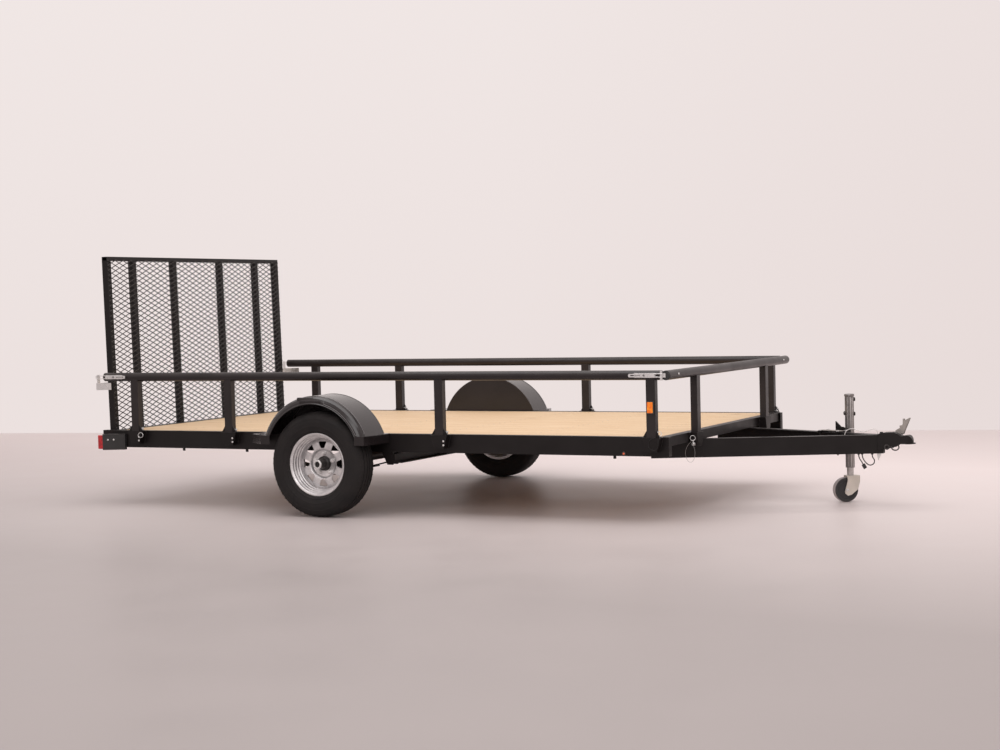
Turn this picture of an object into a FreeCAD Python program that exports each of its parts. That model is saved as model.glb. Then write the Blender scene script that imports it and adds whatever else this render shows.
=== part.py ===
import FreeCAD, Part
import math
import os

# Single-axle utility trailer: a steel channel frame with a board deck, lift-out tube rails
# on stakes, a mesh ramp gate, a leaf-sprung axle under two fenders, an A-shaped tongue
# with a ball coupler, and a swing-up jack with a caster.
# +X points to the coupler, +Y to the left and +Z up. The axle stands at X zero while the
# pieces are made, and the whole is then slid along X until the origin is under its middle.

V = FreeCAD.Vector

# Clearances
SEAT = 0.3                  # between pieces that rest on each other
PIN_PLAY = 0.05             # radial, a pin in its bore
STAKE_PLAY = 1.6            # between a stake and the walls of its pocket
SWING_PLAY = 6.0            # between pieces that swing past each other
OVERCUT = 10.0              # how far a cutting tool runs past what it cuts

# Frame
AXLE_Z = 295.0
FRAME_REAR_X = -1653.0      # the axle stands at zero
FRAME_LENGTH = 3658.0
FRAME_HALF_WIDTH = 986.0
FRAME_TOP_Z = 454.5
CHANNEL_DEPTH = 101.6
CHANNEL_FLANGE = 40.0
CHANNEL_WEB = 5.0
CHANNEL_CAP = 5.0
CROSS_TUBE = 50.8
CROSS_TUBE_WALL = 4.0
FRONT_TUBE_RECESS = 12.0    # front tube's face behind the ends of the side channels
SILL_INSET = 69.0           # from the frame's rear end

# Deck
BOARD_COUNT = 13
BOARD_GAP = 4.0
BOARD_THICKNESS = 38.0
BOARD_DROP = 1.5            # deck surface below the top of the side channels
BOARD_END_GAP = 0.5
BEARER_LEG = 50.0
BEARER_THICKNESS = 5.0
BEARER_REAR_INSET = 503.0   # first bearer from the frame's rear end
BEARER_FRONT_INSET = 280.0  # last bearer from the frame's front end
BEARER_COUNT = 6

# Tongue
TONGUE_DEPTH = 101.6
TONGUE_FLANGE = 50.8
TONGUE_WEB = 5.0
TONGUE_HALF_ANGLE = 25.0    # degrees, from the middle plane
TONGUE_APEX_REACH = 857.0   # from the frame's front end to where the legs' centre lines meet
TONGUE_LAP = 270.0          # how far the legs run back under the deck
TONGUE_TIP_PAST = 18.0      # past that meeting point
TONGUE_MITRE_GAP = 3.0      # from the middle plane to each leg's mitred tip
TONGUE_NOTCH_PLAY = 1.0

# Running gear
TYRE_RADIUS = 295.0
TYRE_WIDTH = 175.0
TYRE_PROFILE_SHARES = ((0.46, 1.0), (0.84, 0.92), (1.0, 0.66))
WHEEL_OUTSET = 155.0        # wheel's middle plane from the frame's face
RIM_FLANGE_RADIUS = 175.0
RIM_FLANGE_THICKNESS = 8.0
RIM_HALF_WIDTH = 67.0
RIM_SHEET = 3.0
BEAD_RADIUS = 163.0
RIM_WELL_RADIUS = 146.0
RIM_WELL_SHARES = (-0.5, -0.34, 0.12, 0.30)
HAT_OFFSET = -18.0          # hat's outer face from the wheel's middle plane
DISC_THICKNESS = 4.0
DISC_RISE = 18.0            # ring of windows outboard of the hat
DISC_TURN = 10.0            # how far the disc turns in to meet the barrel
DISC_BORE_RADIUS = 41.5
HAT_RADIUS = 76.0
RING_INNER_RADIUS = 83.0
RING_OUTER_RADIUS = 128.0
WINDOW_COUNT = 8
WINDOW_INNER_RADIUS = 85.0
WINDOW_OUTER_RADIUS = 125.0
WINDOW_HALF = 25.0
WINDOW_SHARES = ((0.30, 0.0), (0.46, 0.10), (0.94, 0.66), (1.0, 0.84), (0.80, 0.97), (0.0, 1.0))
STUD_CIRCLE_RADIUS = 57.15
STUD_COUNT = 5
STUD_RADIUS = 6.0
STUD_SIDES = 8
NUT_RADIUS = 11.0
NUT_SIDES = 6
NUT_HEIGHT = 16.0
HUB_INNER_OFFSET = -62.0    # hub's ends from the wheel's middle plane
HUB_CAP_OFFSET = 64.0
HUB_RADIUS = 36.0
HUB_FLANGE_RADIUS = 71.0
HUB_FLANGE_THICKNESS = 10.0
HUB_CAP_RADIUS = 27.0
SPINDLE_RADIUS = 17.5
SPINDLE_OFFSET = 31.0
AXLE_RADIUS = 30.2
AXLE_TUBE_OUTSET = 24.0
SPRING_INSET = 31.0         # spring's middle from the frame's face
SPRING_WIDTH = 45.0
SPRING_HALF_SPAN = 330.0
SPRING_SAG = 46.0
LEAF_THICKNESS = 7.0
LEAF_LENGTH_SHARES = (1.0, 0.74, 0.5, 0.28)
SPRING_SEAT_THICKNESS = 8.0
EYE_RADIUS = 15.0
EYE_BOLT_RADIUS = 7.0
HANGER_PLATE = 5.0
HANGER_LENGTH = 70.0
HANGER_DROP = 72.0
HANGER_PLAY = 2.0
BRACE_LEG = 50.0
BRACE_THICKNESS = 5.0
BRACE_TOP_Z = 341.0
CLAMP_ROD = 5.0
CLAMP_PLATE = 10.0
CLAMP_PLAY = 2.0

# Fender
FENDER_SHEET = 3.0
FENDER_CENTRE_X = -12.0
FENDER_CENTRE_Z = 333.0
FENDER_RADIUS = 345.0
FENDER_LIP_RADIUS = 299.0
FENDER_LIP_ROLL = 4.0
FENDER_OUTSET = 252.0       # outer skirt from the frame's face
FENDER_SHOULDER_WIDTH = 42.0
FENDER_SHOULDER_DROP = 40.0
FENDER_SHOULDER_SHARES = ((0.0, 0.0), (0.42, 0.1), (0.76, 0.34), (0.94, 0.66), (1.0, 1.0))
FENDER_PAD_TOP_Z = 457.0
FENDER_PAD_FLANGE = 50.0
FENDER_PAD_CORNER = 88.0    # inboard of the skirt
FRONT_PAD_END_X = 347.0
FRONT_PAD_CORNER_X = 325.0
REAR_PAD_END_X = -460.0
REAR_PAD_CORNER_X = -345.0
FENDER_WALL_LAP = 50.0      # down the outer face of the side channel
FENDER_SWEEP = 150.0        # degrees, before the ends are trimmed level
LEDGE_REAR_X = -83.0
LEDGE_FRONT_X = 52.0
LEDGE_TOP_Z = 650.0
LEDGE_DEPTH = 36.0

# Rails
RAIL_RADIUS = 25.4
RAIL_WALL = 3.0
RAIL_CAP = 5.0
RAIL_Z = 778.0
SIDE_RAIL_REAR_INSET = 53.0     # from the ends of the frame
SIDE_RAIL_FRONT_INSET = 23.0
STAKE_REAR_INSET = 277.0
STAKE_FRONT_INSET = 80.0
STAKE_BEHIND_FENDER = 245.0
STAKE_AHEAD_OF_FENDER = 335.0
SIDE_STAKE_GAP = 7.0        # from the frame's face to a side stake
FRONT_RAIL_OVERHANG = 50.0      # past the frame's face
FRONT_STAKE_Y = 597.0
FRONT_STAKE_GAP = 1.6
STAKE_WIDTH = 50.8
STAKE_DEPTH = 38.1
STAKE_WALL = 3.0
POCKET_PLATE = 3.5
POCKET_DEPTH = 74.5
POCKET_MOUTH_HALF = 50.0
STAKE_LAMP_Z = 611.5
STAKE_LAMP_WIDTH = 42.0
STAKE_LAMP_HEIGHT = 67.0
STAKE_LAMP_DEPTH = 7.0

# Draw latches
LATCH_BASE = 5.0
LATCH_THICKNESS = 9.0
LATCH_HALF_HEIGHT = 12.0
LATCH_LENGTH = 152.0
LATCH_SETBACK = 22.0        # from a rail's end to the latch's near end
LATCH_BASE_SHARE = 0.8      # base plate's length of the lever's
BAIL_WIRE = 2.5
BAIL_HALF_HEIGHT = 9.0
BAIL_REACH = 46.0           # past the rail's end
KEEPER_PLATE = 3.0
KEEPER_HALF_HEIGHT = 16.0
KEEPER_LENGTH = 40.0

# Gate
GATE_HINGE_INSET = 37.0     # ahead of the frame's rear end
GATE_HINGE_Z = 430.0
GATE_SIDE_GAP = 46.0        # from the frame's face
GATE_TOP_Z = 1506.0
GATE_LEAN = 1.335           # degrees, back from upright
GATE_DEPTH = 38.0
GATE_OUTER_POST = 38.0
GATE_INNER_POST = 32.0
GATE_TOP_BAR = 25.0
GATE_BOTTOM_BAR = 32.0
GATE_WALL = 2.5
GATE_POST_SHARES = (-0.715, -0.272, 0.272, 0.715)
GATE_PIN_RADIUS = 9.5
EAR_THICKNESS = 8.0
MESH_THICKNESS = 4.0
MESH_STRAND = 10.0
MESH_COLUMNS = 10
MESH_ROWS = 13
MESH_LAP = 8.0              # how far the mesh laps onto the top bar
GATE_BRACKET_LOW_Z = 701.0
GATE_BRACKET_HIGH_Z = 742.0
GATE_BRACKET_REACH = 86.0   # ahead of the hinge line
GATE_BRACKET_PLATE = 4.0
GATE_TAB_HIGH_Z = 792.0

# Coupler
COUPLER_LAP = 27.0          # over the tongue's tip
COUPLER_BALL_REACH = 125.5  # from the tongue's tip to the ball
COUPLER_NOSE_RADIUS = 36.5
COUPLER_SHEET = 3.5
COUPLER_REAR_BOTTOM_Z = 321.0
COUPLER_MOUTH_Z = 355.0
COUPLER_HUMP_Z = 418.0
COUPLER_NOSE_TOP_Z = 402.0
COUPLER_TOP_SHARES = ((0.17, 0.96), (0.46, 1.0), (0.56, 0.90), (0.68, 0.67), (0.76, 0.71), (0.85, 0.75),
                      (0.92, 0.67), (0.97, 0.48), (1.0, 0.22))
COUPLER_HUMP_SHARE = 0.46
COUPLER_LIP = 10.0
COUPLER_LIP_THICKNESS = 5.0
COUPLER_SOLID_LENGTH = 34.0
COUPLER_BALL_RADIUS = 25.7
BALL_BORE_DEPTH = 22.0
CUP_DOME_SHARES = ((1.0, 0.0), (0.9, 0.4), (0.66, 0.78), (0.34, 0.96), (0.0, 1.0))
LEVER_SETBACK = 36.5        # behind the ball
LEVER_LENGTH = 59.0
LEVER_HEIGHT = 92.0
LEVER_HALF = 13.0
LEVER_SHARES = ((0.0, 0.0), (0.3, 0.0), (0.5, 0.48), (1.0, 0.9), (0.98, 1.0), (0.62, 0.76),
                (0.56, 0.94), (0.44, 0.93), (0.4, 0.66), (0.2, 0.5))

# Jack
JACK_STANDOFF = 106.0       # from the tongue leg's outer face to the jack's axis
JACK_FROM_APEX = 327.0      # along the tongue leg's centre line
JACK_PIVOT_Z = 385.0
JACK_TUBE_RADIUS = 25.4
JACK_TUBE_WALL = 2.8
JACK_TUBE_BOTTOM_Z = 195.0
JACK_TUBE_TOP_Z = 598.0
JACK_GUIDE_LENGTH = 20.0
JACK_CAP_RADIUS = 28.0
JACK_CAP_HEIGHT = 13.0
JACK_INNER_RADIUS = 19.0
JACK_INNER_WALL = 3.0
JACK_INNER_LENGTH = 400.0
MOUNT_PLATE = 8.0
MOUNT_REAR = 96.0
MOUNT_FRONT = 68.0
STRAP_BACKS = (-78.0, 50.0)
STRAP_ROD = 5.0
STRAP_PLATE = 6.0
STRAP_TAIL = 24.0
PIVOT_RADIUS = 24.0
PIVOT_PIN_RADIUS = 12.0
SWIVEL_OUT = 62.0
SWIVEL_PLATE = 8.0
SWIVEL_RADIUS = 44.0
HORN_REACH = 74.0
SADDLE_HALF = 22.0
SADDLE_HALF_HEIGHT = 34.0
FORK_TOP_Z = 150.0
FORK_PLATE = 5.0
FORK_SHARES = ((-0.65, 1.0), (-0.65, 0.775), (-0.47, 0.48), (0.05, 0.29), (0.36, 0.25), (0.58, 0.335),
               (0.60, 0.415), (0.36, 0.84), (0.41, 1.0))
FORK_TRAIL = 30.0
FORK_YAW = 215.0            # degrees from +X to the way the caster trails
CASTER_RADIUS = 70.5
CASTER_WIDTH = 45.0
CASTER_GAP = 3.0
CASTER_PIN_RADIUS = 6.0

# Lamps and small fittings
LAMP_REAR_INSET = 53.0      # from the frame's rear end
LAMP_LENGTH = 122.0
LAMP_REAR_OUT = 76.0        # from the frame's face
LAMP_FRONT_OUT = 18.0
LAMP_TOP_Z = 434.0
LAMP_BOTTOM_Z = 340.0
LENS_DEPTH = 42.0
LENS_MARGIN = 4.0
MARKER_INSET = 252.0        # from the frame's front end
MARKER_Z = 366.0
MARKER_RADIUS = 11.0
MARKER_DEPTH = 8.0
HOOK_REAR_INSET = 589.0
HOOK_FRONT_INSET = 308.0
HOOK_BEHIND_FENDER = 157.0
HOOK_DROP = 15.0
HOOK_LENGTH = 14.0
HOOK_WIDTH = 8.0

# Wiring lead under the tongue, as points behind and below the tongue's tip
LEAD_RADIUS = 3.0
LEAD_SIDES = 6              # flats round the lead
LEAD_CLIP_RADIUS = 7.0
LEAD_CLIP_HEIGHT = 6.0
LEAD_LOOP = ((60.0, -24.0, 0.0), (60.0, -24.0, 14.0), (46.0, -25.0, 30.0), (50.0, -28.0, 52.0),
             (72.0, -32.0, 60.0), (92.0, -34.0, 48.0), (113.0, -34.0, 16.0), (113.0, -34.0, 0.0))
LEAD_TAIL = ((129.0, -46.0, 0.0), (129.0, -46.0, 15.0), (114.0, -48.0, 36.0), (104.0, -50.0, 52.0))
LEAD_BEND_SHARE = 0.45      # of the shorter run at each corner
PLUG_LENGTH = 26.0
PLUG_HALF_WIDTH = 9.0
PLUG_THICKNESS = 8.0

# Worked out from the above
FRAME_FRONT_X = FRAME_REAR_X + FRAME_LENGTH
SILL_REAR_X = FRAME_REAR_X + SILL_INSET
BEARER_FIRST_X = FRAME_REAR_X + BEARER_REAR_INSET
BEARER_PITCH = (FRAME_FRONT_X - BEARER_FRONT_INSET - BEARER_FIRST_X) / (BEARER_COUNT - 1)
TONGUE_APEX_X = FRAME_FRONT_X + TONGUE_APEX_REACH
TONGUE_REAR_X = FRAME_FRONT_X - TONGUE_LAP
TONGUE_TIP_X = TONGUE_APEX_X + TONGUE_TIP_PAST
WHEEL_CENTRE_Y = FRAME_HALF_WIDTH + WHEEL_OUTSET
HAT_Y = WHEEL_CENTRE_Y + HAT_OFFSET
RING_Y = HAT_Y + DISC_RISE
HUB_INNER_Y = WHEEL_CENTRE_Y + HUB_INNER_OFFSET
HUB_CAP_Y = WHEEL_CENTRE_Y + HUB_CAP_OFFSET
SPINDLE_END_Y = WHEEL_CENTRE_Y + SPINDLE_OFFSET
AXLE_TUBE_HALF = FRAME_HALF_WIDTH + AXLE_TUBE_OUTSET
SPRING_Y = FRAME_HALF_WIDTH - SPRING_INSET
FENDER_OUTER_Y = FRAME_HALF_WIDTH + FENDER_OUTSET
FENDER_SHOULDER_Y = FENDER_OUTER_Y - FENDER_SHOULDER_WIDTH
FENDER_PAD_CORNER_Y = FENDER_OUTER_Y - FENDER_PAD_CORNER
SIDE_RAIL_REAR_X = FRAME_REAR_X + SIDE_RAIL_REAR_INSET
SIDE_RAIL_FRONT_X = FRAME_FRONT_X - SIDE_RAIL_FRONT_INSET
SIDE_STAKE_XS = (FRAME_REAR_X + STAKE_REAR_INSET, REAR_PAD_END_X - STAKE_BEHIND_FENDER,
                 FRONT_PAD_END_X + STAKE_AHEAD_OF_FENDER, FRAME_FRONT_X - STAKE_FRONT_INSET)
FRONT_RAIL_HALF_LENGTH = FRAME_HALF_WIDTH + FRONT_RAIL_OVERHANG
GATE_HINGE_X = FRAME_REAR_X + GATE_HINGE_INSET
GATE_HALF_WIDTH = FRAME_HALF_WIDTH - GATE_SIDE_GAP
GATE_BRACKET_FRONT_X = GATE_HINGE_X + GATE_BRACKET_REACH
COUPLER_REAR_X = TONGUE_TIP_X - COUPLER_LAP
COUPLER_BALL_X = TONGUE_TIP_X + COUPLER_BALL_REACH
LEVER_REAR_X = COUPLER_BALL_X - LEVER_SETBACK
LAMP_REAR_X = FRAME_REAR_X + LAMP_REAR_INSET
LAMP_FRONT_X = LAMP_REAR_X + LAMP_LENGTH
MARKER_X = FRAME_FRONT_X - MARKER_INSET
HOOK_XS = (FRAME_REAR_X + HOOK_REAR_INSET, REAR_PAD_END_X - HOOK_BEHIND_FENDER,
           FRAME_FRONT_X - HOOK_FRONT_INSET)
FRAME_BOTTOM_Z = FRAME_TOP_Z - CHANNEL_DEPTH
CHANNEL_INNER_Y = FRAME_HALF_WIDTH - CHANNEL_FLANGE
WEB_INNER_Y = FRAME_HALF_WIDTH - CHANNEL_WEB
CROSS_HALF_LENGTH = CHANNEL_INNER_Y - SEAT
FRONT_TUBE_FACE_X = FRAME_FRONT_X - FRONT_TUBE_RECESS
DECK_TOP_Z = FRAME_TOP_Z - BOARD_DROP
BEARER_TOP_Z = DECK_TOP_Z - BOARD_THICKNESS - SEAT
TONGUE_TOP_Z = FRAME_TOP_Z - CROSS_TUBE - SEAT
TONGUE_BOTTOM_Z = TONGUE_TOP_Z - TONGUE_DEPTH
TONGUE_SLOPE = math.tan(math.radians(TONGUE_HALF_ANGLE))
TONGUE_SECANT = 1 / math.cos(math.radians(TONGUE_HALF_ANGLE))
SPRING_TOP_Z = AXLE_Z - AXLE_RADIUS - SPRING_SEAT_THICKNESS - SEAT
SPRING_CURVE = (SPRING_HALF_SPAN ** 2 + SPRING_SAG ** 2) / (2 * SPRING_SAG)
EYE_Z = SPRING_TOP_Z + SPRING_SAG
BRACE_REAR_X = SPRING_HALF_SPAN + HANGER_LENGTH / 2 + SEAT
SIDE_STAKE_Y = FRAME_HALF_WIDTH + SIDE_STAKE_GAP + STAKE_DEPTH / 2
FRONT_STAKE_X = FRONT_TUBE_FACE_X + FRONT_STAKE_GAP + STAKE_DEPTH / 2
POCKET_BOTTOM_Z = FRAME_TOP_Z - POCKET_DEPTH
STAKE_BOTTOM_Z = POCKET_BOTTOM_Z + POCKET_PLATE + SEAT
POCKET_BASE_HALF = STAKE_WIDTH / 2 + STAKE_PLAY + POCKET_PLATE
LATCH_OUT_Y = SIDE_STAKE_Y + RAIL_RADIUS + SEAT
GATE_FRONT_X = GATE_HINGE_X + GATE_DEPTH / 2
GATE_REAR_X = GATE_HINGE_X - GATE_DEPTH / 2
JACK_OFFSET = TONGUE_FLANGE / 2 + JACK_STANDOFF


def box(x0, x1, y0, y1, z0, z1):
    """Block between two opposite corners, given in any order."""
    corner = V(min(x0, x1), min(y0, y1), min(z0, z1))
    return Part.makeBox(abs(x1 - x0), abs(y1 - y0), abs(z1 - z0), corner)


def prism(points, along):
    """Solid made by pushing the polygon through points along a vector."""
    closed = [V(*p) for p in points]
    face = Part.Face(Part.makePolygon(closed + closed[:1]))
    return face.extrude(V(*along))


def prism_x(outline, x0, x1):
    return prism([(x0, y, z) for y, z in outline], (x1 - x0, 0, 0))


def prism_y(outline, y0, y1):
    return prism([(x, y0, z) for x, z in outline], (0, y1 - y0, 0))


def prism_z(outline, z0, z1):
    return prism([(x, y, z0) for x, y in outline], (0, 0, z1 - z0))


def rod(start, end, radius):
    """Round bar between two points."""
    a, b = V(*start), V(*end)
    return Part.makeCylinder(radius, (b - a).Length, a, b - a)


def flatted(start, end, radius, sides):
    """Bar with flat sides between two points, its corners at the radius."""
    a, b = V(*start), V(*end)
    along = (b - a).normalize()
    spoke = along.cross(V(0, 0, 1) if abs(along.z) < abs(along.y) + abs(along.x) else V(0, 1, 0))
    spoke = spoke.normalize() * radius
    turn = FreeCAD.Rotation(along, 360.0 / sides)
    ring = [a + spoke]
    for _ in range(sides - 1):
        spoke = turn.multVec(spoke)
        ring.append(a + spoke)
    return Part.Face(Part.makePolygon(ring + ring[:1])).extrude(b - a)


def pipe(start, end, radius, wall):
    """Open-ended round tube between two points."""
    return rod(start, end, radius).cut(rod(start, end, radius - wall))


def square_tube_y(x0, x1, half_length, z0, z1, wall):
    """Square tube lying across the trailer."""
    outer = box(x0, x1, -half_length, half_length, z0, z1)
    return outer.cut(box(x0 + wall, x1 - wall, -half_length, half_length, z0 + wall, z1 - wall))


def fuse(shapes):
    first, *rest = shapes
    return first.multiFuse(rest).removeSplitter() if rest else first


def group(shapes):
    """Several solids that do not touch, kept in one piece file."""
    return Part.makeCompound(shapes)


def mirrored(shape):
    """The same piece on the other side of the trailer."""
    return shape.mirror(V(0, 0, 0), V(0, 1, 0))


def both(shape):
    """A left piece and its mirror image on the right."""
    return group([shape, mirrored(shape)])


def spun(profile, centre_x, centre_z, angle=360.0, start=0.0):
    """Turn a closed outline of (y, radius) about a line across the trailer, from straight up."""
    points = [V(centre_x, y, centre_z + r) for y, r in profile]
    face = Part.Face(Part.makePolygon(points + points[:1]))
    face.rotate(V(centre_x, 0, centre_z), V(0, 1, 0), start)
    return face.revolve(V(centre_x, 0, centre_z), V(0, 1, 0), angle)


# Frame and deck
def side_channel():
    """Left side member: a channel open to the inside with a plate closing its front end."""
    top, bottom, t = FRAME_TOP_Z, FRAME_BOTTOM_Z, CHANNEL_WEB
    outer, inner, web = FRAME_HALF_WIDTH, CHANNEL_INNER_Y, WEB_INNER_Y
    outline = [(outer, bottom), (outer, top), (inner, top), (inner, top - t),
               (web, top - t), (web, bottom + t), (inner, bottom + t), (inner, bottom)]
    channel = prism_x(outline, FRAME_REAR_X, FRAME_FRONT_X)
    cap = box(FRAME_FRONT_X - CHANNEL_CAP, FRAME_FRONT_X, inner, web, bottom + t, top - t)
    return fuse([channel, cap])


def cross_tube(rear_x):
    return square_tube_y(rear_x, rear_x + CROSS_TUBE, CROSS_HALF_LENGTH,
                         FRAME_TOP_Z - CROSS_TUBE, FRAME_TOP_Z, CROSS_TUBE_WALL)


def tongue_plan(inner, outer):
    """Plan outline of a strip between two offsets from the left leg's centre line."""
    def across(x, offset):
        return (TONGUE_APEX_X - x) * TONGUE_SLOPE + offset * TONGUE_SECANT

    rear, tip, gap = TONGUE_REAR_X, TONGUE_TIP_X, TONGUE_MITRE_GAP
    plan = [(rear, across(rear, inner)), (rear, across(rear, outer)), (tip, across(tip, outer))]
    if across(tip, inner) >= gap:
        return plan + [(tip, across(tip, inner))]
    mitre_x = TONGUE_APEX_X - (gap - inner * TONGUE_SECANT) / TONGUE_SLOPE
    return plan + [(tip, gap), (mitre_x, gap)]


def tongue_leg():
    """Left tongue channel, open to the inside, from under the deck to the coupler."""
    half, t = TONGUE_FLANGE / 2, TONGUE_WEB
    web = prism_z(tongue_plan(half - t, half), TONGUE_BOTTOM_Z, TONGUE_TOP_Z)
    low = prism_z(tongue_plan(-half, half), TONGUE_BOTTOM_Z, TONGUE_BOTTOM_Z + t)
    high = prism_z(tongue_plan(-half, half), TONGUE_TOP_Z - t, TONGUE_TOP_Z)
    return fuse([web, low, high])


def bearers():
    """Deck bearers: angles with the flat leg up, notched over the tongue channels."""
    half = WEB_INNER_Y - SEAT
    wide = TONGUE_FLANGE / 2 + TONGUE_NOTCH_PLAY
    notch = prism_z(tongue_plan(-wide, wide), TONGUE_BOTTOM_Z, TONGUE_TOP_Z + TONGUE_NOTCH_PLAY)
    top, t = BEARER_TOP_Z, BEARER_THICKNESS
    made = []
    for i in range(BEARER_COUNT):
        x = BEARER_FIRST_X + i * BEARER_PITCH
        outline = [(x, top), (x + BEARER_LEG, top), (x + BEARER_LEG, top - t),
                   (x + t, top - t), (x + t, top - BEARER_LEG), (x, top - BEARER_LEG)]
        made.append(prism_y(outline, -half, half).cut(notch).cut(mirrored(notch)))
    return group(made)


def boards():
    rear = SILL_REAR_X + CROSS_TUBE + BOARD_END_GAP
    front = FRONT_TUBE_FACE_X - CROSS_TUBE - BOARD_END_GAP
    span = 2 * (CHANNEL_INNER_Y - BOARD_END_GAP)
    width = (span - (BOARD_COUNT - 1) * BOARD_GAP) / BOARD_COUNT
    made = []
    for i in range(BOARD_COUNT):
        y = -span / 2 + i * (width + BOARD_GAP)
        made.append(box(rear, front, y, y + width, DECK_TOP_Z - BOARD_THICKNESS, DECK_TOP_Z))
    return group(made)


def hanger_brace():
    """Angle across the trailer on the front faces of the front spring hangers."""
    rear, front = BRACE_REAR_X, BRACE_REAR_X + BRACE_LEG
    top, t = BRACE_TOP_Z, BRACE_THICKNESS
    low = top - BRACE_LEG
    outline = [(rear, low), (rear, top), (rear + t, top), (rear + t, low + t), (front, low + t),
               (front, low)]
    half = SPRING_Y + SPRING_WIDTH / 2
    return prism_y(outline, -half, half)


# Stake pockets
def pocket(reach):
    """Funnel pocket for a stake, standing on a wall at X zero that faces +X, mouth upwards."""
    top, bottom = FRAME_TOP_Z, POCKET_BOTTOM_Z
    mouth, base, t = POCKET_MOUTH_HALF, POCKET_BASE_HALF, POCKET_PLATE

    def funnel(shrink, x1, low):
        outline = [(-mouth + shrink, top), (mouth - shrink, top),
                   (base - shrink, low), (-base + shrink, low)]
        return prism_x(outline, SEAT, x1)

    return funnel(0, reach, bottom).cut(funnel(t, reach - t, bottom + t))


def side_pockets():
    reach = SIDE_STAKE_GAP + STAKE_DEPTH + STAKE_PLAY + POCKET_PLATE
    made = []
    for x in SIDE_STAKE_XS:
        one = pocket(reach)
        one.rotate(V(0, 0, 0), V(0, 0, 1), 90)
        one.translate(V(x, FRAME_HALF_WIDTH, 0))
        made += [one, mirrored(one)]
    return group(made)


def front_pockets():
    one = pocket(FRONT_STAKE_GAP + STAKE_DEPTH + STAKE_PLAY + POCKET_PLATE)
    one.translate(V(FRONT_TUBE_FACE_X, FRONT_STAKE_Y, 0))
    return both(one)


# Rails
def stake(along_x, along_y, x, y, rail):
    """Box-section stake from its pocket up to the rail tube, coped to fit under the tube."""
    w, low = STAKE_WALL, STAKE_BOTTOM_Z
    outer = box(x - along_x / 2, x + along_x / 2, y - along_y / 2, y + along_y / 2, low, RAIL_Z)
    inner = box(x - along_x / 2 + w, x + along_x / 2 - w, y - along_y / 2 + w,
                y + along_y / 2 - w, low, RAIL_Z)
    return outer.cut(inner).cut(rail)


def closed_tube(start, end, radius, wall, cap):
    """Round tube with its ends closed by flat caps."""
    a, b = V(*start), V(*end)
    step = (b - a).normalize() * cap
    inside = Part.makeCylinder(radius - wall, (b - a).Length - 2 * cap, a + step, step)
    return rod(start, end, radius).cut(inside)


def side_rail_line():
    return (SIDE_RAIL_REAR_X, SIDE_STAKE_Y, RAIL_Z), (SIDE_RAIL_FRONT_X, SIDE_STAKE_Y, RAIL_Z)


def front_rail_line():
    y = FRONT_RAIL_HALF_LENGTH
    return (FRONT_STAKE_X, -y, RAIL_Z), (FRONT_STAKE_X, y, RAIL_Z)


def side_rail_tube():
    return closed_tube(*side_rail_line(), RAIL_RADIUS, RAIL_WALL, RAIL_CAP)


def side_stakes():
    tool = rod(*side_rail_line(), RAIL_RADIUS + SEAT)
    return group([stake(STAKE_WIDTH, STAKE_DEPTH, x, SIDE_STAKE_Y, tool) for x in SIDE_STAKE_XS])


def front_rail_tube():
    return closed_tube(*front_rail_line(), RAIL_RADIUS, RAIL_WALL, RAIL_CAP)


def front_stakes():
    tool = rod(*front_rail_line(), RAIL_RADIUS + SEAT)
    return group([stake(STAKE_DEPTH, STAKE_WIDTH, FRONT_STAKE_X, side * FRONT_STAKE_Y, tool)
                  for side in (1, -1)])


def latch(rail_end_x, way):
    """Draw latch on the outer side of a left rail: base, lever and the wire bail past the end."""
    y0, y1 = LATCH_OUT_Y, LATCH_OUT_Y + LATCH_BASE
    h = LATCH_HALF_HEIGHT
    near = rail_end_x - way * LATCH_SETBACK
    far = near - way * LATCH_LENGTH
    base = box(near, near - way * LATCH_LENGTH * LATCH_BASE_SHARE, y0, y1, RAIL_Z - h, RAIL_Z + h)
    lever = box(near - way * h, far + way * h, y1, y1 + LATCH_THICKNESS, RAIL_Z - h, RAIL_Z + h)
    ends = [rod((x, y1, RAIL_Z), (x, y1 + LATCH_THICKNESS, RAIL_Z), h)
            for x in (near - way * h, far + way * h)]
    wire_y = y1 + LATCH_THICKNESS / 2
    start, tip = near - way * h, rail_end_x + way * BAIL_REACH
    bail = box(start, tip + way * BAIL_WIRE, wire_y - BAIL_WIRE, wire_y + BAIL_WIRE,
               RAIL_Z - BAIL_HALF_HEIGHT - BAIL_WIRE, RAIL_Z + BAIL_HALF_HEIGHT + BAIL_WIRE)
    eye = box(start, tip - way * BAIL_WIRE, y0, y1 + LATCH_THICKNESS,
              RAIL_Z - BAIL_HALF_HEIGHT + BAIL_WIRE, RAIL_Z + BAIL_HALF_HEIGHT - BAIL_WIRE)
    return fuse([base, lever, bail.cut(eye)] + ends)


def side_latches():
    return group([latch(SIDE_RAIL_REAR_X, -1), latch(SIDE_RAIL_FRONT_X, 1)])


def front_keepers():
    """Catch plates on the ends of the front rail, inside the side rails' bails."""
    y0, h = FRONT_RAIL_HALF_LENGTH + SEAT, KEEPER_HALF_HEIGHT
    front = FRONT_STAKE_X + RAIL_RADIUS
    return both(box(front - KEEPER_LENGTH, front, y0, y0 + KEEPER_PLATE, RAIL_Z - h, RAIL_Z + h))


def stake_lamp():
    """Amber lamp on the outer face of the left front stake."""
    x, y, z = SIDE_STAKE_XS[-1], SIDE_STAKE_Y + STAKE_DEPTH / 2 + SEAT, STAKE_LAMP_Z
    return box(x - STAKE_LAMP_WIDTH / 2, x + STAKE_LAMP_WIDTH / 2, y, y + STAKE_LAMP_DEPTH,
               z - STAKE_LAMP_HEIGHT / 2, z + STAKE_LAMP_HEIGHT / 2)


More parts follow.
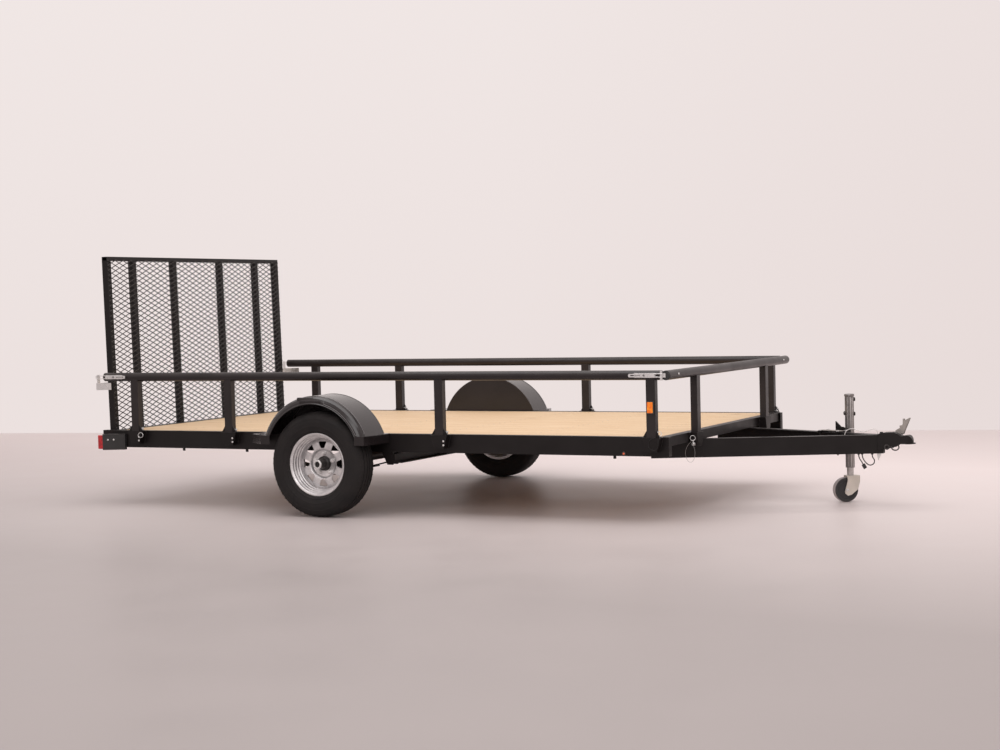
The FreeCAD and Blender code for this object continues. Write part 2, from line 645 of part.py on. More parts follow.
# Gate, made upright over its hinge line and then leaned back
def leaned(shape):
    shape.rotate(V(GATE_HINGE_X, 0, GATE_HINGE_Z), V(0, 1, 0), -GATE_LEAN)
    return shape


def gate_post(y, width):
    z0 = GATE_HINGE_Z + GATE_BOTTOM_BAR / 2 + SEAT
    z1 = GATE_TOP_Z - GATE_TOP_BAR - SEAT
    w = GATE_WALL
    outer = box(GATE_REAR_X, GATE_FRONT_X, y - width / 2, y + width / 2, z0, z1)
    return outer.cut(box(GATE_REAR_X + w, GATE_FRONT_X - w, y - width / 2 + w,
                         y + width / 2 - w, z0, z1))


def gate_posts():
    edge = GATE_HALF_WIDTH - GATE_OUTER_POST / 2
    posts = [gate_post(side * edge, GATE_OUTER_POST) for side in (-1, 1)]
    posts += [gate_post(share * GATE_HALF_WIDTH, GATE_INNER_POST) for share in GATE_POST_SHARES]
    return leaned(group(posts))


def gate_bars():
    """Top bar, and bottom bar with a stub pin at each end for the hinge ears."""
    top = square_tube_y(GATE_REAR_X, GATE_FRONT_X, GATE_HALF_WIDTH, GATE_TOP_Z - GATE_TOP_BAR,
                        GATE_TOP_Z, GATE_WALL)
    half = GATE_BOTTOM_BAR / 2
    low = box(GATE_REAR_X, GATE_FRONT_X, -GATE_HALF_WIDTH, GATE_HALF_WIDTH,
              GATE_HINGE_Z - half, GATE_HINGE_Z + half)
    reach = WEB_INNER_Y - SEAT
    pin = rod((GATE_HINGE_X, -reach, GATE_HINGE_Z), (GATE_HINGE_X, reach, GATE_HINGE_Z),
              GATE_PIN_RADIUS)
    return leaned(group([top, fuse([low, pin])]))


def gate_mesh():
    """Diamond mesh welded over the drive side of the gate, one sheet with its openings cut."""
    x = GATE_FRONT_X + SEAT
    half = GATE_HALF_WIDTH
    z0 = GATE_HINGE_Z
    z1 = GATE_TOP_Z - GATE_TOP_BAR + MESH_LAP
    long_way = 2 * half / MESH_COLUMNS
    short_way = (z1 - z0) / MESH_ROWS
    a, b = long_way / 2 - MESH_STRAND, short_way / 2 - MESH_STRAND / 2
    tools = []
    for row in range(2 * MESH_ROWS - 1):
        z = z0 + (row + 1) * short_way / 2
        shift = 0 if row % 2 else long_way / 2
        count = MESH_COLUMNS if shift else MESH_COLUMNS - 1
        for col in range(count):
            y = -half + shift + (col if shift else col + 1) * long_way
            ring = [V(x, y - a, z), V(x, y, z + b), V(x, y + a, z), V(x, y, z - b)]
            face = Part.Face(Part.makePolygon(ring + ring[:1]))
            tools.append(face.extrude(V(MESH_THICKNESS, 0, 0)))
    edge = [V(x, -half, z0), V(x, half, z0), V(x, half, z1), V(x, -half, z1)]
    sheet = Part.Face(Part.makePolygon(edge + edge[:1])).extrude(V(MESH_THICKNESS, 0, 0))
    return leaned(sheet.cut(Part.makeCompound(tools)))


def gate_keepers():
    """Brackets behind the rear ends of the side rails, with a tab inside each latch's bail."""
    t, low, high = GATE_BRACKET_PLATE, GATE_BRACKET_LOW_Z, GATE_BRACKET_HIGH_Z
    x1 = GATE_REAR_X - SEAT
    x0 = x1 - t
    inner = GATE_HALF_WIDTH - GATE_OUTER_POST
    skin = LATCH_OUT_Y + LATCH_BASE
    strap = box(x0, x1, inner, skin + t, low, high)
    side = box(x0, GATE_BRACKET_FRONT_X, skin, skin + t, low, high)
    tab = box(x0, x1, SIDE_STAKE_Y, SIDE_STAKE_Y + RAIL_RADIUS, low, GATE_TAB_HIGH_Z)
    return leaned(both(fuse([strap, side, tab])))


def hinge_ears():
    """Plates closing the rear ends of the side channels, bored for the gate's stub pins."""
    y0 = GATE_HALF_WIDTH + SWING_PLAY + SEAT
    t = CHANNEL_WEB + SEAT
    plate = box(FRAME_REAR_X, SILL_REAR_X, y0, y0 + EAR_THICKNESS, FRAME_BOTTOM_Z + t,
                FRAME_TOP_Z - t)
    bore = rod((GATE_HINGE_X, 0, GATE_HINGE_Z), (GATE_HINGE_X, FRAME_HALF_WIDTH, GATE_HINGE_Z),
               GATE_PIN_RADIUS + PIN_PLAY)
    return both(plate.cut(bore))


# Running gear
def tyre():
    y, half = WHEEL_CENTRE_Y, TYRE_WIDTH / 2
    bead, lip = BEAD_RADIUS + SEAT, RIM_FLANGE_RADIUS + SEAT
    bead_half = RIM_HALF_WIDTH - RIM_FLANGE_THICKNESS - SEAT
    height = TYRE_RADIUS - bead
    section = [(bead_half, bead), (bead_half, lip)]
    section += [(w * half, bead + h * height) for h, w in TYRE_PROFILE_SHARES]
    right = [(y + w, r) for w, r in section]
    left = [(y - w, r) for w, r in reversed(section)]
    return spun(right + left, 0, AXLE_Z)


def window_cutter(turn, y0, y1):
    """Cutter for one wheel window: a wedge with rounded corners, wide side out."""
    low, tall = AXLE_Z + WINDOW_INNER_RADIUS, WINDOW_OUTER_RADIUS - WINDOW_INNER_RADIUS
    right = [(wide * WINDOW_HALF, low + up * tall) for wide, up in WINDOW_SHARES]
    left = [(-x, z) for x, z in reversed(right[:-1])]
    wedge = prism_y(right + left, y0, y1)
    wedge.rotate(V(0, 0, AXLE_Z), V(0, 1, 0), turn)
    return wedge


def stud_places():
    for i in range(STUD_COUNT):
        angle = math.radians(i * 360.0 / STUD_COUNT)
        yield STUD_CIRCLE_RADIUS * math.sin(angle), AXLE_Z + STUD_CIRCLE_RADIUS * math.cos(angle)


def rim():
    """Spoked steel wheel: rolled barrel with a drop well, and a dished disc with windows."""
    y, half, t = WHEEL_CENTRE_Y, RIM_HALF_WIDTH, RIM_SHEET
    seat, well, lip, f = BEAD_RADIUS, RIM_WELL_RADIUS, RIM_FLANGE_RADIUS, RIM_FLANGE_THICKNESS
    a, b, c, d = (y + s * half for s in RIM_WELL_SHARES)
    outer = [(y - half, lip), (y - half + f, lip), (y - half + f, seat), (a, seat), (b, well),
             (c, well), (d, seat), (y + half - f, seat), (y + half - f, lip), (y + half, lip)]
    inner = [(y + half, seat - t), (d, seat - t), (c, well - t), (b, well - t),
             (a, seat - t), (y - half, seat - t)]
    barrel = spun(outer + inner, 0, AXLE_Z)
    g, ring_in, ring_out = DISC_THICKNESS, RING_INNER_RADIUS, RING_OUTER_RADIUS
    foot = well - t
    face = [(HAT_Y, DISC_BORE_RADIUS), (HAT_Y, HAT_RADIUS), (RING_Y, ring_in), (RING_Y, ring_out),
            (RING_Y - DISC_TURN, foot), (RING_Y - DISC_TURN - g, foot), (RING_Y - g, ring_out - g),
            (RING_Y - g, ring_in + g), (HAT_Y - g, HAT_RADIUS + g), (HAT_Y - g, DISC_BORE_RADIUS)]
    disc = spun(face, 0, AXLE_Z)
    y0, y1 = HAT_Y - DISC_RISE, RING_Y + DISC_RISE
    cutters = [window_cutter(i * 360.0 / WINDOW_COUNT, y0, y1) for i in range(WINDOW_COUNT)]
    cutters += [flatted((x, y0, z), (x, y1, z), STUD_RADIUS + SEAT, STUD_SIDES) for x, z in stud_places()]
    return fuse([barrel, disc.cut(Part.makeCompound(cutters))])


def hub():
    """Hub turning on the spindle, with its flange, studs, nuts and dust cap."""
    face = HAT_Y - DISC_THICKNESS - SEAT
    back = face - HUB_FLANGE_THICKNESS
    bore, end = SPINDLE_RADIUS + PIN_PLAY, SPINDLE_END_Y + SEAT
    profile = [(HUB_INNER_Y, bore), (HUB_INNER_Y, HUB_RADIUS), (back, HUB_RADIUS),
               (back, HUB_FLANGE_RADIUS), (face, HUB_FLANGE_RADIUS), (face, HUB_CAP_RADIUS),
               (HUB_CAP_Y, HUB_CAP_RADIUS), (HUB_CAP_Y, 0), (end, 0), (end, bore)]
    pieces = [spun(profile, 0, AXLE_Z)]
    root_y, nut_y = back + HUB_FLANGE_THICKNESS / 2, HAT_Y + SEAT
    for x, z in stud_places():
        pieces.append(flatted((x, root_y, z), (x, nut_y + NUT_HEIGHT / 2, z), STUD_RADIUS, STUD_SIDES))
        pieces.append(flatted((x, nut_y, z), (x, nut_y + NUT_HEIGHT, z), NUT_RADIUS, NUT_SIDES))
    return fuse(pieces)


def axle_beam():
    """Tube axle with its spindles and the pads that sit on the springs."""
    tube = rod((0, -AXLE_TUBE_HALF, AXLE_Z), (0, AXLE_TUBE_HALF, AXLE_Z), AXLE_RADIUS)
    spindle = rod((0, -SPINDLE_END_Y, AXLE_Z), (0, SPINDLE_END_Y, AXLE_Z), SPINDLE_RADIUS)
    half, centre_z = SPRING_WIDTH / 2, SPRING_TOP_Z + SPRING_CURVE
    pad = box(-SPRING_WIDTH, SPRING_WIDTH, SPRING_Y - half, SPRING_Y + half, SPRING_TOP_Z,
              AXLE_Z - AXLE_RADIUS / 2)
    pad = pad.common(rod((0, SPRING_Y - half, centre_z), (0, SPRING_Y + half, centre_z), SPRING_CURVE - SEAT))
    return fuse([tube, spindle, pad, mirrored(pad)])


def leaf_spring():
    """Left slipper spring under the axle, leaves stacked under the main leaf, eye in front."""
    span, radius = SPRING_HALF_SPAN, SPRING_CURVE
    centre_z = SPRING_TOP_Z + radius
    y0 = SPRING_Y - SPRING_WIDTH / 2

    def at(r, a):
        return V(r * math.sin(a), y0, centre_z - r * math.cos(a))

    pieces = []
    for i, share in enumerate(LEAF_LENGTH_SHARES):
        inner = radius + i * LEAF_THICKNESS
        outer = inner + LEAF_THICKNESS
        reach = math.asin(span * share / radius)
        top = Part.Arc(at(inner, -reach), at(inner, 0), at(inner, reach)).toShape()
        low = Part.Arc(at(outer, reach), at(outer, 0), at(outer, -reach)).toShape()
        ends = [Part.makeLine(at(inner, reach), at(outer, reach)),
                Part.makeLine(at(outer, -reach), at(inner, -reach))]
        face = Part.Face(Part.Wire([top, ends[0], low, ends[1]]))
        pieces.append(face.extrude(V(0, SPRING_WIDTH, 0)))
    start, end = (span, y0, EYE_Z), (span, y0 + SPRING_WIDTH, EYE_Z)
    pieces.append(rod(start, end, EYE_RADIUS))
    return fuse(pieces).cut(rod(start, end, EYE_BOLT_RADIUS + SEAT))


def hangers():
    """Spring hangers under the left side channel: base plate, two cheeks and a bolt each."""
    half = SPRING_WIDTH / 2 + HANGER_PLAY
    y0, y1 = SPRING_Y - half, SPRING_Y + half
    top = FRAME_BOTTOM_Z - SEAT
    low = top - HANGER_DROP
    t = HANGER_PLATE
    made = []
    for side in (1, -1):
        x = side * SPRING_HALF_SPAN
        x0, x1 = x - HANGER_LENGTH / 2, x + HANGER_LENGTH / 2
        cheek = [(x0, top), (x1, top), (x1, low + t), (x1 - t, low), (x - t, low), (x0, top - 2 * t)]
        base = box(x0, x1, y0 - t, y1 + t, top - t, top)
        bolt_z = EYE_Z if side > 0 else EYE_Z - LEAF_THICKNESS - EYE_BOLT_RADIUS - HANGER_PLAY
        bolt = rod((x, y0 - t, bolt_z), (x, y1 + t, bolt_z), EYE_BOLT_RADIUS)
        made.append(fuse([base, prism_y(cheek, y0 - t, y0), prism_y(cheek, y1, y1 + t), bolt]))
    return made


def arched(radius, foot_z, spring_z, y):
    """Block with a half-round top, one clamp rod thick, the outline of a bent clamp bolt."""
    y0 = y - CLAMP_ROD
    low, high = V(-radius, y0, foot_z), V(-radius, y0, spring_z)
    far_high, far_low = V(radius, y0, spring_z), V(radius, y0, foot_z)
    over = Part.Arc(high, V(0, y0, spring_z + radius), far_high).toShape()
    sides = [Part.makeLine(low, high), over, Part.makeLine(far_high, far_low), Part.makeLine(far_low, low)]
    return Part.Face(Part.Wire(sides)).extrude(V(0, 2 * CLAMP_ROD, 0))


def axle_clamp():
    """Left tie plate under the spring with two bolts over the axle tube."""
    low = SPRING_TOP_Z - len(LEAF_LENGTH_SHARES) * LEAF_THICKNESS - SEAT
    half = SPRING_WIDTH / 2 + CLAMP_ROD + CLAMP_PLAY
    reach = AXLE_RADIUS + CLAMP_ROD + SEAT
    plate = box(-reach - CLAMP_ROD, reach + CLAMP_ROD, SPRING_Y - half - CLAMP_ROD,
                SPRING_Y + half + CLAMP_ROD, low - CLAMP_PLATE, low)
    pieces, foot = [plate], low - CLAMP_PLATE / 2
    for y in (SPRING_Y - half, SPRING_Y + half):
        outer, inner = [arched(reach + way * CLAMP_ROD, foot, AXLE_Z, y) for way in (1, -1)]
        pieces.append(outer.cut(inner))
    return fuse(pieces)


# Fenders
def fender_spun(profile):
    return spun(profile, FENDER_CENTRE_X, FENDER_CENTRE_Z, FENDER_SWEEP, -FENDER_SWEEP / 2)


def fender_profile(depth):
    """Crown, rounded shoulder and skirt as (y, radius), set in by a depth, down to the lip."""
    y0, wide = FENDER_SHOULDER_Y, FENDER_OUTER_Y - FENDER_SHOULDER_Y
    r0, drop = FENDER_RADIUS, FENDER_SHOULDER_DROP
    inner = FRAME_HALF_WIDTH + SEAT
    shoulder = [(y0 + a * (wide - depth), r0 - depth - b * (drop - depth))
                for a, b in FENDER_SHOULDER_SHARES]
    return [(inner, r0 - depth)] + shoulder


def fender():
    """Left fender: round crown and shoulder, rolled lip, ledge, inner wall and two step pads."""
    t, inner = FENDER_SHEET, FRAME_HALF_WIDTH + SEAT
    top, oy, lip = FENDER_PAD_TOP_Z, FENDER_OUTER_Y, FENDER_LIP_RADIUS
    roll = FENDER_LIP_ROLL
    low = top - t
    rim_outline = [(oy, lip + 2 * roll), (oy + roll, lip + roll), (oy, lip),
                   (oy - roll, lip), (oy - t, lip + roll)]
    arch = fender_spun(fender_profile(0) + rim_outline + fender_profile(t)[::-1])
    big = FENDER_RADIUS + OVERCUT
    below = box(FENDER_CENTRE_X - big, FENDER_CENTRE_X + big, 0, oy + OVERCUT, AXLE_Z - big, low)
    wall = fender_spun([(inner, 0), (inner, FENDER_RADIUS), (inner + t, FENDER_RADIUS), (inner + t, 0)])
    skirt = box(FENDER_CENTRE_X - big, FENDER_CENTRE_X + big, 0, oy, AXLE_Z - big,
                FRAME_TOP_Z - FENDER_WALL_LAP)
    pieces = [arch.cut(below), wall.cut(skirt)]
    rise = low - FENDER_CENTRE_Z

    def end_x(side, radius):
        return FENDER_CENTRE_X + side * (math.sqrt(radius * radius - rise * rise) - t)

    ky = FENDER_PAD_CORNER_Y
    for side, ex, kx in ((1, FRONT_PAD_END_X, FRONT_PAD_CORNER_X), (-1, REAR_PAD_END_X, REAR_PAD_CORNER_X)):
        crown_x, lip_x = end_x(side, FENDER_RADIUS), end_x(side, lip + roll)
        plan = [(crown_x, inner), (ex, inner), (ex, ky), (kx, oy), (lip_x, oy),
                (crown_x, FENDER_SHOULDER_Y)]
        pieces.append(prism_z(plan, low, top))
        flange = [(ex, inner), (ex, ky), (kx, oy), (lip_x, oy), (lip_x, oy - t),
                  (kx - side * t / 2, oy - t), (ex - side * t, ky - t / 2), (ex - side * t, inner)]
        pieces.append(prism_z(flange, top - FENDER_PAD_FLANGE, low + t / 2))
    ledge = box(LEDGE_REAR_X, LEDGE_FRONT_X, oy - LEDGE_DEPTH, oy, lip + FENDER_CENTRE_Z, LEDGE_TOP_Z)
    hollow = fender_spun([(inner, 0)] + fender_profile(t) + [(oy - t, 0)])
    pieces.append(ledge.cut(hollow))
    return fuse(pieces)


# Coupler
def coupler():
    """Formed coupler over the tongue's tip: skirted hollow body and a solid nose with the cup."""
    t, nose, ball_x = COUPLER_SHEET, COUPLER_NOSE_RADIUS, COUPLER_BALL_X
    rear, low, mouth = COUPLER_REAR_X, COUPLER_REAR_BOTTOM_Z, COUPLER_MOUTH_Z
    deck = TONGUE_TOP_Z + SEAT + t
    waist_x, tip_x, hump_z = ball_x - COUPLER_SOLID_LENGTH, ball_x + nose, COUPLER_HUMP_Z
    hump_x = rear + COUPLER_HUMP_SHARE * (tip_x - rear)
    top = [(rear + a * (tip_x - rear), mouth + b * (hump_z - mouth)) for a, b in COUPLER_TOP_SHARES]
    side = [(rear, low), (rear, deck)] + top
    side += [(tip_x, mouth), (waist_x, mouth), (hump_x, (low + mouth) / 2 - t)]
    body = prism_y(side, -nose, nose)
    plan_low, plan_high = low - OVERCUT, hump_z + OVERCUT
    plan = fuse([box(rear, ball_x, -nose, nose, plan_low, plan_high),
                 Part.makeCylinder(nose, plan_high - plan_low, V(ball_x, 0, plan_low))])
    body = body.common(plan)
    lip = Part.makeCylinder(nose + COUPLER_LIP, COUPLER_LIP_THICKNESS, V(ball_x, 0, mouth))
    body = fuse([body, lip.cut(box(ball_x - 2 * nose, ball_x, -2 * nose, 2 * nose, mouth, hump_z))])
    inside = [(rear, low - OVERCUT), (rear, deck - t), (hump_x - nose, hump_z - nose / 4 - t),
              (hump_x, hump_z - t), (waist_x, COUPLER_NOSE_TOP_Z - 2 * t), (waist_x, low - OVERCUT)]
    body = body.cut(prism_y(inside, t - nose, nose - t))
    ball, crest = COUPLER_BALL_RADIUS, COUPLER_NOSE_TOP_Z - 2 * t
    ring = [V(ball_x, 0, mouth - t), V(ball_x + ball, 0, mouth - t)]
    ring += [V(ball_x + share * ball, 0, mouth + BALL_BORE_DEPTH + rise * (crest - mouth - BALL_BORE_DEPTH))
             for share, rise in CUP_DOME_SHARES]
    cup = Part.Face(Part.makePolygon(ring + ring[:1])).revolve(V(ball_x, 0, mouth), V(0, 0, 1), 360)
    return body.cut(cup)


def coupler_lever():
    """Forked hand lever standing on the coupler's back."""
    z0 = COUPLER_NOSE_TOP_Z + COUPLER_SHEET + SEAT
    outline = [(LEVER_REAR_X + a * LEVER_LENGTH, z0 + b * LEVER_HEIGHT) for a, b in LEVER_SHARES]
    return prism_y(outline, -LEVER_HALF, LEVER_HALF)


# Jack, made about a frame at the clamp: along the leg, out from it, and up
def jack_point(along, out, z):
    a = math.radians(TONGUE_HALF_ANGLE)
    reach = along - JACK_FROM_APEX
    return V(TONGUE_APEX_X + reach * math.cos(a) + out * math.sin(a),
             -reach * math.sin(a) + out * math.cos(a), z)


def jack_block(along0, along1, out0, out1, z0, z1):
    plan = [(along0, out0), (along1, out0), (along1, out1), (along0, out1)]
    points = [jack_point(a, o, z0) for a, o in plan]
    return Part.Face(Part.makePolygon(points + points[:1])).extrude(V(0, 0, z1 - z0))


def jack_drum(out0, out1, radius):
    a, b = jack_point(0, out0, JACK_PIVOT_Z), jack_point(0, out1, JACK_PIVOT_Z)
    return Part.makeCylinder(radius, (b - a).Length, a, b - a)


def jack_mount():
    """Clamp on the left tongue leg: plate, bolted straps round the leg and the pivot drum."""
    face = TONGUE_FLANGE / 2 + SEAT
    top, low = TONGUE_TOP_Z + SEAT, TONGUE_BOTTOM_Z - SEAT
    plate, r = STRAP_PLATE, STRAP_ROD
    pieces = [jack_block(-MOUNT_REAR, MOUNT_FRONT, face, face + MOUNT_PLATE, low - plate, top + plate)]
    for place in STRAP_BACKS:
        near, far = -face - 3 * r, face + MOUNT_PLATE + 3 * r
        for z0 in (low - plate, top):
            pieces.append(jack_block(place - 2 * r, place + 2 * r, near, far, z0, z0 + plate))
        for out in (-face - r - SEAT, face + MOUNT_PLATE + r + SEAT):
            foot, head = low - STRAP_TAIL, top + plate + r
            pieces.append(flatted(jack_point(place, out, foot), jack_point(place, out, head), r, STUD_SIDES))
    pieces.append(jack_drum(face + MOUNT_PLATE / 2, SWIVEL_OUT - SEAT, PIVOT_RADIUS))
    pieces.append(jack_drum(SWIVEL_OUT / 2, SWIVEL_OUT + SWIVEL_PLATE, PIVOT_PIN_RADIUS))
    return fuse(pieces)


def jack_swivel():
    """Round swivel plate with two horns, and the saddle that holds the jack tube."""
    a, b = SWIVEL_OUT, SWIVEL_OUT + SWIVEL_PLATE
    r = SWIVEL_RADIUS
    pieces = [jack_drum(a, b, r)]
    for side in (1, -1):
        outline = [(-r * side, JACK_PIVOT_Z), (r * side / 2, JACK_PIVOT_Z + side * r / 2),
                   (-side * r, JACK_PIVOT_Z + side * HORN_REACH)]
        ring = [jack_point(p, a, z) for p, z in outline]
        face = Part.Face(Part.makePolygon(ring + ring[:1]))
        pieces.append(face.extrude(jack_point(0, b, 0) - jack_point(0, a, 0)))
    bore = jack_drum(0, b, PIVOT_PIN_RADIUS + PIN_PLAY)
    pieces.append(jack_block(-SADDLE_HALF, SADDLE_HALF, b, JACK_OFFSET,
                             JACK_PIVOT_Z - SADDLE_HALF_HEIGHT, JACK_PIVOT_Z + SADDLE_HALF_HEIGHT))
    tube = Part.makeCylinder(JACK_TUBE_RADIUS + SEAT, JACK_TUBE_TOP_Z, jack_point(0, JACK_OFFSET, 0))
    return fuse(pieces).cut(tube).cut(bore)


def jack_pipe(low_z, high_z, radius, wall):
    low = jack_point(0, JACK_OFFSET, low_z)
    outer = Part.makeCylinder(radius, high_z - low_z, low)
    return outer.cut(Part.makeCylinder(radius - wall, high_z - low_z, low))


def jack_tube():
    """Outer jack tube with a guide ring for the inner tube in its lower end."""
    shell = jack_pipe(JACK_TUBE_BOTTOM_Z, JACK_TUBE_TOP_Z, JACK_TUBE_RADIUS, JACK_TUBE_WALL)
    guide = jack_pipe(JACK_TUBE_BOTTOM_Z, JACK_TUBE_BOTTOM_Z + JACK_GUIDE_LENGTH,
                      JACK_TUBE_RADIUS, JACK_TUBE_RADIUS - JACK_INNER_RADIUS - SEAT)
    return fuse([shell, guide])


def jack_cap():
    low = jack_point(0, JACK_OFFSET, JACK_TUBE_TOP_Z + SEAT)
    return Part.makeCylinder(JACK_CAP_RADIUS, JACK_CAP_HEIGHT, low)


def caster_placed(shape):
    """Turn a caster piece made along +X about the jack's axis to the way it trails."""
    shape.rotate(V(0, 0, 0), V(0, 0, 1), FORK_YAW)
    shape.translate(jack_point(0, JACK_OFFSET, 0))
    return shape


def caster_fork():
    half = CASTER_WIDTH / 2 + CASTER_GAP
    t, top, wheel_z = FORK_PLATE, FORK_TOP_Z, CASTER_RADIUS
    cheek = [(a * CASTER_RADIUS, b * top) for a, b in FORK_SHARES]
    crown = box(cheek[0][0], cheek[-1][0], -half - t, half + t, top - t, top)
    sides = [prism_y(cheek, half, half + t), prism_y(cheek, -half - t, -half)]
    pin = rod((FORK_TRAIL, -half - t, wheel_z), (FORK_TRAIL, half + t, wheel_z), CASTER_PIN_RADIUS)
    return caster_placed(fuse([crown, pin] + sides))


def caster_wheel():
    half, r, bore = CASTER_WIDTH / 2, CASTER_RADIUS, CASTER_PIN_RADIUS + PIN_PLAY
    c = half / 4
    outline = [(-half, bore), (-half, r - c), (-half + c, r), (half - c, r), (half, r - c), (half, bore)]
    return caster_placed(spun(outline, FORK_TRAIL, r))


# Wiring lead
def lead_points(places):
    """Route points under the tongue from places behind and below its tip."""
    z = TONGUE_BOTTOM_Z - SEAT - LEAD_CLIP_HEIGHT
    return [V(TONGUE_TIP_X - back, y, z - down) for back, y, down in places]


def lead(name, places):
    """Cord along straight runs with a round bend at each corner."""
    spots = lead_points(places)
    edges, start, radii = [], spots[0], []
    for before, corner, after in zip(spots, spots[1:], spots[2:]):
        into, out = before - corner, after - corner
        half = into.getAngle(out) / 2
        reach = LEAD_BEND_SHARE * min(into.Length, out.Length)
        bend = reach * math.tan(half)
        into.normalize()
        out.normalize()
        first, last = corner + into * reach, corner + out * reach
        middle = corner + (into + out).normalize() * (bend / math.sin(half) - bend)
        edges += [Part.makeLine(start, first), Part.Arc(first, middle, last).toShape()]
        start = last
        radii.append(round(bend, 1))
    edges.append(Part.makeLine(start, spots[-1]))
    print(name, "bend radii", radii, "length", round(sum(e.Length for e in edges), 1))
    profile = flatted(spots[0], spots[1], LEAD_RADIUS, LEAD_SIDES).Faces[LEAD_SIDES].OuterWire
    return Part.Wire(edges).makePipeShell([profile], True, False)


def lead_clips():
    """Grommets under the tongue's flange where the lead comes out."""
    exits = [lead_points(LEAD_LOOP)[0], lead_points(LEAD_LOOP)[-1], lead_points(LEAD_TAIL)[0]]
    return group([flatted(p, p + V(0, 0, LEAD_CLIP_HEIGHT), LEAD_CLIP_RADIUS, LEAD_SIDES) for p in exits])


def lead_plug():
    """Flat plug hanging from the lead's tail."""
    before, end = lead_points(LEAD_TAIL)[-2:]
    along = (end - before).normalize()
    side = V(0, 0, 1).cross(along).normalize() * PLUG_THICKNESS / 2
    up = along.cross(side).normalize() * PLUG_HALF_WIDTH
    ring = [end + side + up, end + side - up, end - side - up, end - side + up]
    return Part.Face(Part.makePolygon(ring + ring[:1])).extrude(along * PLUG_LENGTH)


# Lamps and small fittings
def lamp_boxes():
    """Lamp guards on the frame's rear corners, tapering in towards the front."""
    y0 = FRAME_HALF_WIDTH + SEAT
    plan = [(LAMP_REAR_X, y0), (LAMP_REAR_X, FRAME_HALF_WIDTH + LAMP_REAR_OUT),
            (LAMP_FRONT_X, FRAME_HALF_WIDTH + LAMP_FRONT_OUT), (LAMP_FRONT_X, y0)]
    return both(prism_z(plan, LAMP_BOTTOM_Z, LAMP_TOP_Z))


def lamp_lenses():
    y0 = FRAME_HALF_WIDTH + LENS_MARGIN
    y1 = FRAME_HALF_WIDTH + LAMP_REAR_OUT - LENS_MARGIN
    x1 = LAMP_REAR_X - SEAT
    return both(box(x1 - LENS_DEPTH, x1, y0, y1, LAMP_BOTTOM_Z + LENS_MARGIN, LAMP_TOP_Z - LENS_MARGIN))


def side_markers():
    y = FRAME_HALF_WIDTH + SEAT
    return both(rod((MARKER_X, y, MARKER_Z), (MARKER_X, y + MARKER_DEPTH, MARKER_Z), MARKER_RADIUS))


def rope_hooks():
    top = FRAME_BOTTOM_Z - SEAT
    y = FRAME_HALF_WIDTH - CHANNEL_WEB - HOOK_WIDTH
    made = []
    for x in HOOK_XS:
        nub = box(x - HOOK_LENGTH / 2, x + HOOK_LENGTH / 2, y, y + HOOK_WIDTH, top - HOOK_DROP, top)
        made += [nub, mirrored(nub)]
    return group(made)


def build():
    """All pieces by name, before the slide along X."""
    left_hangers = hangers()
    pieces = {
        "side_channel_left": side_channel(),
        "front_cross_tube": cross_tube(FRONT_TUBE_FACE_X - CROSS_TUBE),
        "rear_sill": cross_tube(SILL_REAR_X),
        "deck_bearers": bearers(),
        "deck_boards": boards(),
        "tongue_left": tongue_leg(),
        "hanger_brace": hanger_brace(),
        "side_pockets": side_pockets(),
        "front_pockets": front_pockets(),
        "axle_beam": axle_beam(),
        "leaf_spring_left": leaf_spring(),
        "spring_hangers": group(left_hangers + [mirrored(h) for h in left_hangers]),
        "axle_clamps": both(axle_clamp()),
        "fender_left": fender(),
        "coupler": coupler(),
        "coupler_lever": coupler_lever(),
        "jack_mount": jack_mount(),
        "lead_loop": lead("lead_loop", LEAD_LOOP),
        "lead_tail": lead("lead_tail", LEAD_TAIL),
        "lead_clips": lead_clips(),
        "lead_plug": lead_plug(),
        "lamp_boxes": lamp_boxes(),
        "lamp_lenses": lamp_lenses(),
        "side_markers": side_markers(),
        "rope_hooks": rope_hooks(),
        "hinge_ears": hinge_ears(),
        "tyre_left": tyre(),
        "rim_left": rim(),
        "hub_left": hub(),
        "rail_tube_left": side_rail_tube(),
        "rail_stakes_left": side_stakes(),
        "rail_latches_left": side_latches(),
        "stake_lamp_left": stake_lamp(),
        "front_rail_tube": front_rail_tube(),
        "front_rail_stakes": front_stakes(),
        "front_rail_keepers": front_keepers(),
        "gate_bars": gate_bars(),
        "gate_posts": gate_posts(),
        "gate_mesh": gate_mesh(),
        "gate_keepers": gate_keepers(),
        "jack_swivel": jack_swivel(),
        "jack_tube": jack_tube(),
        "jack_cap": jack_cap(),
        "jack_inner": jack_pipe(FORK_TOP_Z + SEAT, FORK_TOP_Z + JACK_INNER_LENGTH,
                                JACK_INNER_RADIUS, JACK_INNER_WALL),
        "caster_fork": caster_fork(),
        "caster_wheel": caster_wheel(),
    }
    for name in [n for n in pieces if n.endswith("_left")]:
        pieces[name.replace("_left", "_right")] = mirrored(pieces[name])
    return pieces


PIECES = build()
BOUNDS = [shape.BoundBox for shape in PIECES.values()]
SHIFT_X = -(min(b.XMin for b in BOUNDS) + max(b.XMax for b in BOUNDS)) / 2

os.makedirs("parts", exist_ok=True)
for node, shape in PIECES.items():
    shape.translate(V(SHIFT_X, 0, 0))
    shape.exportStep("parts/%s.step" % node)
print("slid along X by %.2f mm" % SHIFT_X)
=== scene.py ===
import contextlib
import logging
import math
from dataclasses import dataclass, field
from enum import Enum
from typing import Callable, Iterator, Sequence

import bmesh
import bpy
from mathutils import Matrix, Vector


